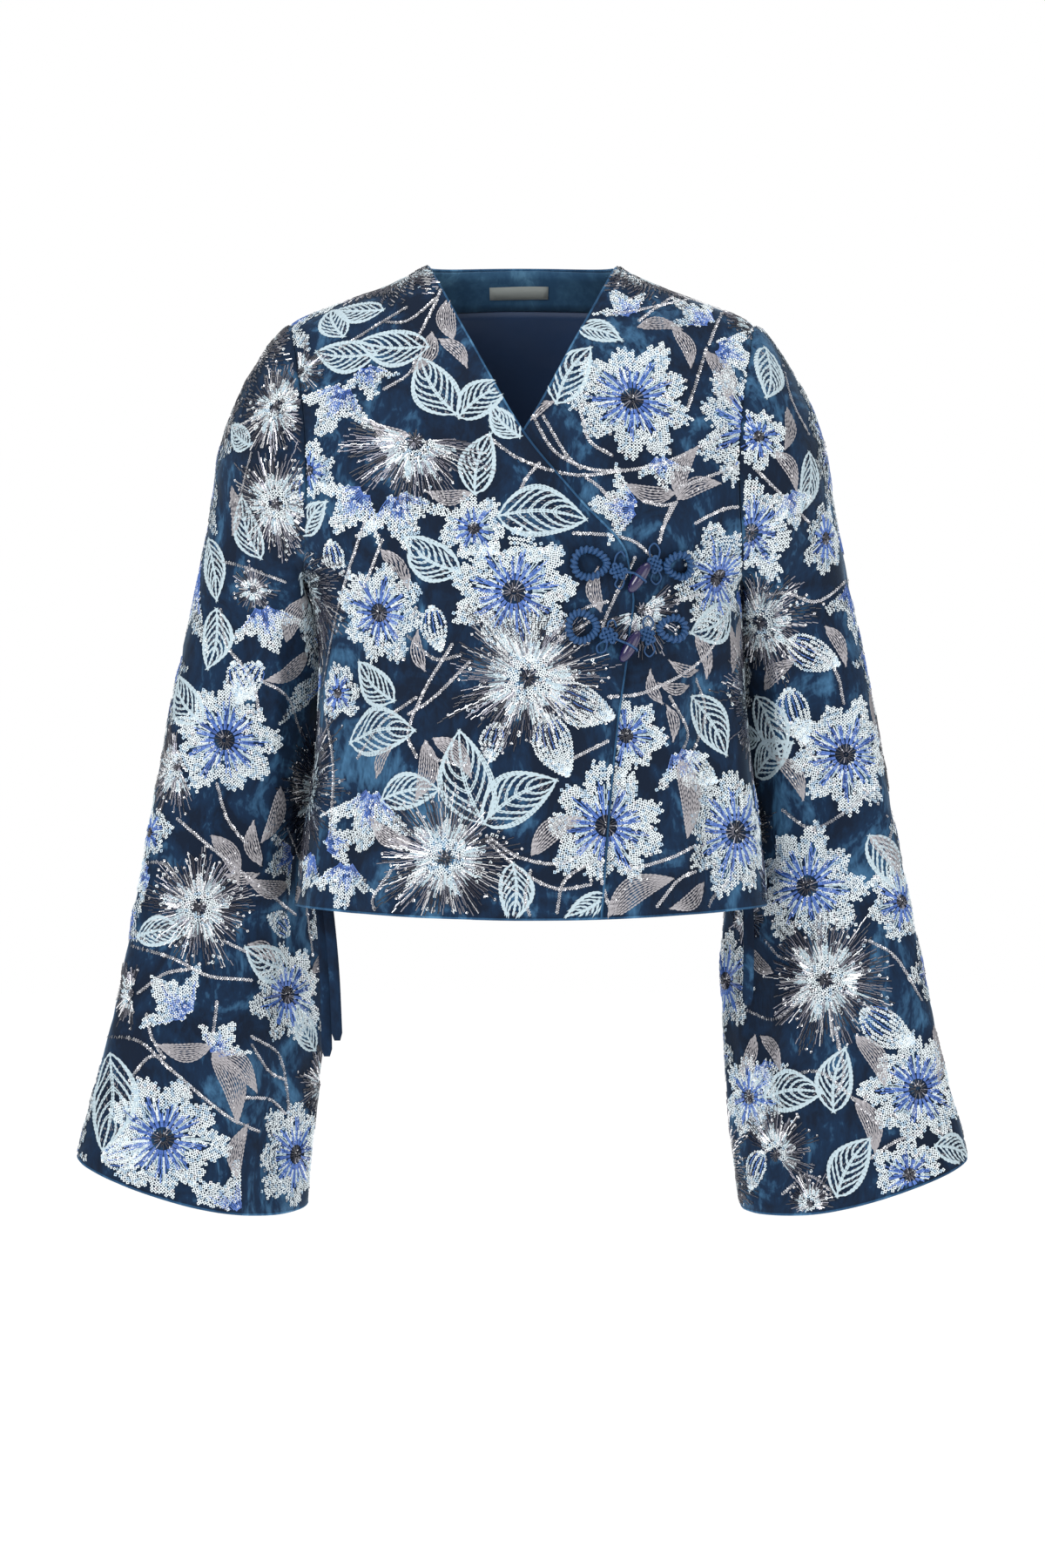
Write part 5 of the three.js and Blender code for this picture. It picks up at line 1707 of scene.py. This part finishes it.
            mesh.materials.append(finishes[finish])
        triangles = int(np.sum(counts - 2))
        LOG.info("%s: %d triangles", name, triangles)
        return mesh


@dataclass
class VelvetShell:
    """The velvet panels with their lining, and the embroidery on them."""

    panels: Panels
    finishes: Finishes
    edge_radius: float = 1.3
    neck_span: Pair = (0.29, 0.71)
    charts: dict[str, Chart] = field(default_factory=dict)
    cuts: dict[str, tuple[float, float, float]] = field(
        default_factory=lambda: {
            "front_right": (0.314, 0.628, 0.132),
            "front_left": (0.298, 0.612, 0.127),
            "back": (0.478, 0.579, 0.221),
            "sleeve_right": (0.614, 0.703, 0.256),
            "sleeve_left": (0.614, 0.703, 0.250),
        }
    )

    def build(self) -> None:
        """Builds each panel's cloth and embroidery."""
        self.charts = self.panels.charts()
        for name, chart in self.charts.items():
            sewn = self.embroider(name, chart) + [self.rolled_edge_highlight(name, chart)]
            cloth = self.cloth(name, chart)

    def cloth(self, name: str, chart: Chart) -> Object:
        """Returns a panel's cloth: velvet outside, lining inside."""
        mesh = grid_mesh(name + "_velvet", chart)
        mesh.materials.append(self.finishes[Finish.VELVET])
        mesh.materials.append(self.finishes[Finish.LINING])
        piece = link_piece(name + "_velvet", mesh, (name,))
        wall = add_wall(piece, CLOTH)
        wall.material_offset = 1
        wall.material_offset_rim = 0
        return piece

    def rolled_edge_highlight(self, name: str, chart: Chart) -> Object:
        """Returns the rolled velvet edge along a panel's free sides, in a lighter velvet that paints a
        highlight line along them.
        """
        grid = chart.points - chart.normals * (0.5 * CLOTH)
        lines = [grid[:, 0]]
        if name.startswith("front"):
            lines = [np.concatenate([grid[::-1, 0], grid[0, 1:]])]
        elif name == "back":
            low, high = (int(share * chart.columns) for share in self.neck_span)
            lines.append(grid[low : high + 1, -1])
        mesh = cord_mesh(name + "_edge", lines, self.edge_radius, False, 1)
        # The lighter edge velvet is a painted highlight along the free edges.
        mesh.materials.append(self.finishes[Finish.EDGE])
        return link_piece(name + "_edge", mesh)

    def embroider(self, name: str, chart: Chart) -> list[Object]:
        """Returns a panel's sequins and its beadwork, each a piece of its own."""
        hidden = self.under_the_lap if name == "front_left" else None
        work = Embroidery(chart, hidden)
        if name.startswith("front"):
            work.stitch(FRONT_MOTIFS, False, 100)
            work.run_stems(FRONT_STEMS, False, 500)
        elif name == "back":
            work.stitch(BACK_MOTIFS, True, 200)
            work.run_stems(BACK_STEMS, True, 600)
        else:
            right = name == "sleeve_right"
            work.stitch(RIGHT_SLEEVE_MOTIFS if right else LEFT_SLEEVE_MOTIFS, False, 300)
            work.run_stems(RIGHT_SLEEVE_STEMS if right else LEFT_SLEEVE_STEMS, False, 700)
            motifs, stems = SLEEVE_BACK_MOTIFS, SLEEVE_BACK_STEMS
            if not right:
                motifs = [self.across(row) for row in motifs]
                stems = [[(2 * ORIGIN_PIXEL[0] - x, y) for x, y in stem] for stem in stems]
            work.stitch(motifs, True, 400)
            work.run_stems(stems, True, 800)
        work.fill_gaps(900 + len(name))
        groups = {"sequins": (Bit.SEQUIN,), "beadwork": (Bit.BUGLE, Bit.GRAIN, Bit.BEAD)}
        return [
            link_piece(f"{name}_{group}", work.mesh(f"{name}_{group}", self.finishes, bits))
            for group, bits in groups.items()
        ]

    @staticmethod
    def across(row: Motif) -> Motif:
        """Returns a motif on the other side of the jacket."""
        kind, x, y, size, turn = row
        return kind, 2 * ORIGIN_PIXEL[0] - x, y, size, 180.0 - turn

    def under_the_lap(self, point: Array) -> Array:
        """Returns which points of the inner front lie under the outer one."""
        sway = self.panels.form.curve["sway"](point[:, 2])
        return point[:, 0] - sway < -OVER_EDGE(point[:, 2]) + 0.6


@dataclass(frozen=True)
class Strip:
    """One strip of cloth inside the back: its node, thickness, depth, finish and a slot name, which is not
    used.
    """

    node: str
    cloth: str
    thickness: float
    depth: float
    finish: Finish
    slot: str


FACING = Strip("neck_facing", "velvet", 1.5, CLOTH + 0.3, Finish.FACING, "velvet")
BACK_LINING = Strip("back_lining", "satin", 1.0, CLOTH + 0.3, Finish.LINING, "lining")
LABEL = Strip("neck_label", "tape", 0.5, CLOTH + FACING.thickness + 0.7, Finish.LABEL, "label")


@dataclass
class InsideBack:
    """The facing, lining and label inside the back, all placed by shares of its chart."""

    chart: Chart
    finishes: Finishes
    facing_low: float = 0.934
    facing_top: float = 0.999
    facing_side: float = 0.215
    lining_side: float = 0.03
    lining_low: float = 0.03
    lining_gap: float = 0.002
    label_x: Pair = (-27.0, 21.0)
    label_z: Pair = (-18.5, -8.5)

    def build(self) -> None:
        """Builds the velvet band of the neck, the satin lining under it and the plain label."""
        side, low = self.facing_side, self.facing_low
        facing = self.strip(FACING, (side, low), (1 - side, self.facing_top))
        side, top = self.lining_side, self.facing_low - self.lining_gap
        lining = self.strip(BACK_LINING, (side, self.lining_low), (1 - side, top))
        label = self.strip(LABEL, *self.label_corners())

    def strip(self, plan: Strip, first: Pair, last: Pair) -> Object:
        """Returns a piece that follows the back's inner side from one corner to another."""
        name = f"{plan.node}_{plan.cloth}"
        mesh = grid_mesh(name, self.chart, first, last, plan.depth)
        mesh.materials.append(self.finishes[plan.finish])
        piece = link_piece(name, mesh, (plan.node,))
        add_wall(piece, plan.thickness)
        return piece

    def label_corners(self) -> tuple[Pair, Pair]:
        """Returns the shares across and up of the label's two corners."""
        points = self.chart.points
        middle_row = points[self.chart.columns // 2]
        t = np.interp(self.label_z, middle_row[:, 2], np.linspace(0, 1, self.chart.rows + 1))
        row = points[:, int(t.mean() * self.chart.rows)]
        s = np.interp(self.label_x, row[:, 0], np.linspace(0, 1, self.chart.columns + 1))
        return (float(s[0]), float(t[0])), (float(s[1]), float(t[1]))


class FrontFace:
    """The face of the closed fronts, as somebody straight in front of the jacket sees it."""

    def __init__(self, charts: dict[str, Chart]) -> None:
        """Keeps the outer and the inner front."""
        self.charts = (charts["front_right"], charts["front_left"])

    def at(self, x: Array | float, z: Array | float) -> tuple[Array, Array]:
        """Returns the face's points and outward normals at x and z."""
        x, z = np.broadcast_arrays(np.atleast_1d(np.asarray(x, float)), np.asarray(z, float))
        found = []
        for chart in self.charts:
            s, t = chart.locate(x, z, False, 1e9)
            found.append((chart.inside(s, t)[:, None], *chart.axes(s, t)[:2]))
        (over, point, normal), (_, under_point, under_normal) = found
        return np.where(over, point, under_point), np.where(over, normal, under_normal)


def bent_line(places: Sequence[Sequence[float]], step: float = 1.2) -> Array:
    """Returns points on a smooth bend through places, about a step apart."""
    table = np.array(places, float)
    length = np.linalg.norm(np.diff(table, axis=0), axis=1).sum()
    fine = np.linspace(0, len(table) - 1, max(int(length / step), 6))
    knots = np.arange(len(table))
    return np.stack([Embroidery.bend(knots, column, fine) for column in table.T], axis=-1)


@dataclass(frozen=True)
class FrogPlan:
    """Where the parts of one closure are, in millimetres to the viewer's right and up."""

    name: str
    loop_ring: Quad
    toggle_ring: Quad
    loop_knot: Pair
    toggle_knot: Pair
    toggle: Pair
    lean: float
    side_cords: tuple[tuple[Pair, ...], ...]


FROG_PLANS = (
    FrogPlan(
        "upper", (52.6, -242.4, 12.7, 10.4), (121.4, -242.4, 9.6, 8.4), (74.3, -248), (102.7, -241.7),
        (88.6, -252.7), 36,
        (
            ((71, -243), (73, -236), (77, -233), (80, -237)),
            ((74, -254), (72, -259), (76, -262), (79, -257), (78, -252)),
            ((100, -237), (99, -230), (103, -226), (107, -231), (106, -237)),
            ((102, -248), (100, -254), (104, -258), (108, -253), (106, -247)),
        ),
    ),
    FrogPlan(
        "lower", (46.6, -291.9, 10.8, 10.8), (115.9, -292.9, 10, 8.5), (66.6, -298.7), (97, -298.7),
        (81.8, -307.3), 32,
        (
            ((63, -303), (58, -307), (59, -312), (64, -311), (66, -305)),
            ((66, -293), (67, -288), (71, -287), (73, -292)),
            ((95, -293), (94, -287), (98, -283), (102, -288), (100, -293)),
            ((97, -305), (95, -311), (99, -315), (103, -310), (101, -304)),
        ),
    ),
)


@dataclass
class FrogClosure:
    """One closure: two rings of wound cord, two knots, side cords, a thin loop and a toggle."""

    plan: FrogPlan
    face: FrontFace
    finishes: Finishes
    ring_radius: float = 3.4
    strand_radius: float = 1.5
    ring_taper: float = 0.22
    knot_half: float = 4.9
    knot_gap: float = 3.1
    thin_radius: float = 0.75
    loop_radius: float = 0.95
    toggle_length: float = 28.0
    toggle_radius: float = 5.1
    blunt: float = 0.40
    seat: float = 0.6
    loop_turns: int = 21
    toggle_turns: int = 17
    knot_leans: Pair = (20.0, -18.0)

    def build(self) -> None:
        """Builds the closure's pieces, each in place of its node."""
        plan = self.plan
        self.ring("loop_ring", plan.loop_ring, 1, self.loop_turns)
        self.ring("toggle_ring", plan.toggle_ring, -1, self.toggle_turns)
        self.knot("loop_knot", plan.loop_knot, self.knot_leans[0], plan.side_cords[:2])
        self.knot("toggle_knot", plan.toggle_knot, self.knot_leans[1], plan.side_cords[2:])
        middle, normal, along = self.toggle_seat()
        self.toggle(middle, normal, along)
        self.button_loop(middle, normal, along)

    def piece(self, part: str, meshes: Sequence[Mesh], finish: Finish) -> Object:
        """Returns a piece in place of one of the closure's nodes."""
        node = f"frog_{self.plan.name}_{part}"
        mesh = join_meshes(node + "_cord" if finish is Finish.CORD else node + "_button", meshes)
        mesh.materials.append(self.finishes[finish])
        return link_piece(mesh.name, mesh, (node,))

    def ring(self, part: str, place: Quad, towards: int, turns: int) -> None:
        """Builds a ring with cord wound round it."""
        x, z, half_length, half_height = place
        turn = np.linspace(0, 2 * math.pi, turns * 12, endpoint=False)
        flat_x = x + towards * half_length * np.cos(turn)
        flat_z = z + half_height * np.sin(turn) * (1 - self.ring_taper * np.cos(turn))
        point, normal = self.face.at(flat_x, flat_z)
        core = point + normal * (self.ring_radius + self.seat)
        ahead = unit(np.roll(core, -1, axis=0) - np.roll(core, 1, axis=0))
        side = unit(np.cross(ahead, normal))
        up = np.cross(side, ahead)
        wind = (turns * turn)[:, None]
        offset = self.ring_radius - self.strand_radius
        wound = core + offset * (np.cos(wind) * side + np.sin(wind) * up)
        name = f"{self.plan.name}_{part}"
        outer = cord_mesh(name + "_wound", [wound], self.strand_radius, True, 1)
        inner = cord_mesh(name + "_core", [core[::6]], self.ring_radius - 1.6, True, 2)
        self.piece(part, [outer, inner], Finish.CORD)

    def serpentine(self) -> Array:
        """Returns a line that passes to and fro three times, weaving up and down."""
        half, gap = self.knot_half, self.knot_gap
        parts = []
        for k, v in enumerate((-gap, 0.0, gap)):
            way = 1 if k % 2 == 0 else -1
            u = np.linspace(-half, half, 15) * way
            height = np.cos(math.pi * u / gap + math.pi * k)
            parts.append(np.stack([u, np.full(15, v), height], axis=-1))
            if k < 2:
                turn = np.linspace(-math.pi / 2, math.pi / 2, 7)[1:-1]
                bend_x = way * (half + 0.5 * gap * np.cos(turn))
                bend_y = v + 0.5 * gap * (1 + np.sin(turn))
                parts.append(np.stack([bend_x, bend_y, np.zeros(5)], axis=-1))
        return np.concatenate(parts)

    def knot(self, part: str, place: Pair, turn: float, side_cords: Sequence) -> None:
        """Builds a woven knot with its thin side cords."""
        point, normal = (value[0] for value in self.face.at(*place))
        right = unit(np.cross((0.0, 0.0, 1.0), normal))
        up = np.cross(normal, right)
        cosine, sine = math.cos(math.radians(turn)), math.sin(math.radians(turn))
        u_axis, v_axis = cosine * right + sine * up, cosine * up - sine * right
        path = self.serpentine()
        middle = point + normal * (self.ring_radius + self.seat)
        first = middle + path[:, :1] * u_axis + path[:, 1:2] * v_axis + path[:, 2:] * normal
        second = middle + path[:, :1] * v_axis + path[:, 1:2] * u_axis - path[:, 2:] * normal
        woven = cord_mesh(f"{part}_woven", [first, second], 0.85 * self.strand_radius, False, 1)
        lines = []
        for places in side_cords:
            flat = bent_line(places)
            seat_point, seat_normal = self.face.at(flat[:, 0], flat[:, 1])
            lines.append(seat_point + seat_normal * (self.thin_radius + 1.6))
        thin = cord_mesh(f"{part}_thin", lines, self.thin_radius, False, 1)
        self.piece(part, [woven, thin], Finish.CORD)

    def toggle_seat(self) -> tuple[Array, Array, Array]:
        """Returns the toggle's middle, the cloth's normal there and the toggle's direction."""
        point, normal = (value[0] for value in self.face.at(*self.plan.toggle))
        lean = math.radians(self.plan.lean)
        along = np.array([math.sin(lean), 0.0, math.cos(lean)])
        along = unit(along - normal * (along @ normal))
        share = np.linspace(-1.0, 1.0, 21)
        places = point + along * (0.5 * self.toggle_length * share)[:, None]
        under = self.face.at(places[:, 0], places[:, 2])[0]
        lift = np.max((under - places) @ normal + self.girth(share)) + self.seat
        return point + normal * lift, normal, along

    def girth(self, share: Array) -> Array:
        """Returns the toggle's radius at shares of half its length."""
        return self.toggle_radius * np.maximum(1 - share**2, 0.0) ** self.blunt

    def toggle(self, middle: Array, normal: Array, along: Array) -> None:
        """Builds the toggle, turned about its own length."""
        share = np.sin(np.linspace(-math.pi / 2, math.pi / 2, 19))
        bm = bmesh.new()
        half = 0.5 * self.toggle_length * MM
        verts = [bm.verts.new((half * s, r * MM, 0.0)) for s, r in zip(share, self.girth(share))]
        edges = [bm.edges.new(pair) for pair in zip(verts, verts[1:])]
        spun = {"cent": (0, 0, 0), "axis": (1, 0, 0), "angle": 2 * math.pi, "steps": 24, "use_merge": True}
        bmesh.ops.spin(bm, geom=verts + edges, **spun)
        bmesh.ops.remove_doubles(bm, verts=bm.verts, dist=1e-5)
        bmesh.ops.recalc_face_normals(bm, faces=bm.faces)
        seat = Matrix([Vector(along), Vector(np.cross(normal, along)), Vector(normal)]).transposed().to_4x4()
        bm.transform(Matrix.Translation(Vector(middle * MM)) @ seat)
        self.piece("toggle", [mesh_of(bm, "toggle_turned")], Finish.TOGGLE)

    def button_loop(self, middle: Array, normal: Array, along: Array) -> None:
        """Builds the thin cord from the knot round the toggle."""
        across = np.cross(along, normal)
        reach = self.toggle_radius + self.loop_radius + 0.3
        angles = np.radians((175, 140, 105, 70, 35, 0, -20))[:, None]
        over = middle + reach * (np.cos(angles) * across + np.sin(angles) * normal)
        point, out = (value[0] for value in self.face.at(*self.plan.loop_knot))
        start = point + out * (self.ring_radius + self.seat)
        line = bent_line([start, *over], 0.8)
        self.piece("button_loop", [cord_mesh("button_loop", [line], self.loop_radius, False, 2)], Finish.CORD)


@dataclass(frozen=True)
class StrapPlan:
    """One tie: its node, side, depth, and the places to the side and up that it hangs through."""

    name: str
    side: int
    y: float
    places: tuple[Pair, ...]
    length: float


STRAP_PLANS = (
    StrapPlan("tie_right_long", -1, -22.0, ((162, -500), (158, -570), (156.5, -633)), 0.195),
    StrapPlan("tie_right_short", -1, -29.0, ((157, -500), (151, -560), (148, -620)), 0.185),
    StrapPlan("tie_left", 1, -26.0, ((180, -490), (181, -540), (180, -592)), 0.153),
)


@dataclass
class Straps:
    """The ties of folded velvet that hang inside the side seams."""

    form: BodyForm
    finishes: Finishes
    width: float = 8.6
    thick: float = 2.6
    sewn_z: float = -440.0
    sewn_in: float = 7.1
    columns: int = 4

    def build(self) -> None:
        """Builds every tie."""
        for plan in STRAP_PLANS:
            self.strap(plan)

    def strap(self, plan: StrapPlan) -> None:
        """Builds one tie as a flat band with a rounded end."""
        sewn = float(self.form.curve["half_width"](self.sewn_z)) - self.sewn_in
        sewn += plan.side * float(self.form.curve["sway"](self.sewn_z))
        line = bent_line([(sewn, self.sewn_z), *plan.places], 3.0)
        rows = len(line)
        bm = bmesh.new()
        bmesh.ops.create_grid(bm, x_segments=self.columns, y_segments=rows - 1, size=0.5)
        for vert in bm.verts:
            x, y = vert.co.x, vert.co.y + 0.5
            row = int(round(y * (rows - 1)))
            narrow = 1.0 - 0.45 * float(smooth(row, rows - 3, rows - 1))
            place = line[row]
            vert.co = Vector((plan.side * place[0] + x * self.width * narrow, plan.y, place[1])) * MM
        mesh = mesh_of(bm, plan.name + "_velvet")
        mesh.materials.append(self.finishes[Finish.VELVET])
        piece = link_piece(plan.name + "_velvet", mesh, (plan.name,))
        add_wall(piece, self.thick, 0.0)


# Where the floor lies and how far it reaches, in metres.
FLOOR_HEIGHT, FLOOR_REACH = -1.6, 30.0


def camera_and_lights() -> None:
    """Sets up the floor, the camera at the photograph's angle and soft studio lights."""
    scene = bpy.context.scene
    camera = bpy.data.cameras.new("camera")
    camera.sensor_width = 36.0
    camera.lens = 36.0 * CAMERA_DISTANCE / FRAME_HEIGHT
    camera.clip_end = 100.0
    holder = bpy.data.objects.new("camera", camera)
    holder.location = (0.0, -CAMERA_DISTANCE * MM, CAMERA_HEIGHT * MM)
    holder.rotation_euler = (math.pi / 2, 0.0, 0.0)
    scene.collection.objects.link(holder)
    scene.camera = holder
    # Each light's name, place, size and power.
    lights = (
        ("key", (-1.7, -2.7, 1.1), 1.6, 52.0),
        ("fill", (2.0, -2.4, 0.0), 2.4, 20.0),
        ("top", (0.2, -0.3, 2.0), 1.6, 18.0),
        ("back", (0.3, 2.6, 0.6), 2.4, 34.0),
    )
    for name, place, size, power in lights:
        lamp = bpy.data.lights.new(name, "AREA")
        lamp.shape = "DISK"
        lamp.size = size
        lamp.energy = power
        lit = bpy.data.objects.new(name, lamp)
        lit.location = place
        lit.rotation_euler = (Vector((0, 0, -0.35)) - Vector(place)).to_track_quat("-Z", "Y").to_euler()
        scene.collection.objects.link(lit)
    scene.world = studio_world()
    scene.view_settings.view_transform = "Standard"
    bm = bmesh.new()
    low = Matrix.Translation((0.0, 0.0, FLOOR_HEIGHT))
    bmesh.ops.create_grid(bm, x_segments=1, y_segments=1, size=FLOOR_REACH, matrix=low)
    mesh = bpy.data.meshes.new("floor")
    bm.to_mesh(mesh)
    bm.free()
    paper = PlainFinish((0.80, 0.80, 0.80), 0.9).material("floor")
    shader = paper.node_tree.nodes["Principled BSDF"]
    Nodes(paper.node_tree).fill(shader, {"Emission Color": WHITE, "Emission Strength": 0.60})
    mesh.materials.append(paper)
    floor = bpy.data.objects.new("floor", mesh)
    scene.collection.objects.link(floor)


def studio_world() -> bpy.types.World:
    """Returns a white surround that the camera sees brighter than it lights the jacket."""
    world = bpy.data.worlds.new("studio")
    world.use_nodes = True
    nodes = Nodes(world.node_tree)
    path = nodes.add("ShaderNodeLightPath")
    strength = nodes.add(
        "ShaderNodeMapRange", {"Value": path.outputs["Is Camera Ray"], "To Min": 0.55, "To Max": 1.0}
    )
    nodes.fill(world.node_tree.nodes["Background"], {"Color": WHITE, "Strength": strength.outputs[0]})
    return world


def main() -> None:
    """Builds the jacket, piece by piece."""
    logging.basicConfig(level=logging.INFO, format="%(name)s: %(message)s")
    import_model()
    camera_and_lights()
    finishes = Finishes()
    panels = Panels()
    shell = VelvetShell(panels, finishes)
    shell.build()
    InsideBack(shell.charts["back"], finishes).build()
    face = FrontFace(shell.charts)
    for plan in FROG_PLANS:
        FrogClosure(plan, face, finishes).build()
    Straps(panels.form, finishes).build()


if __name__ == "__main__":
    main()
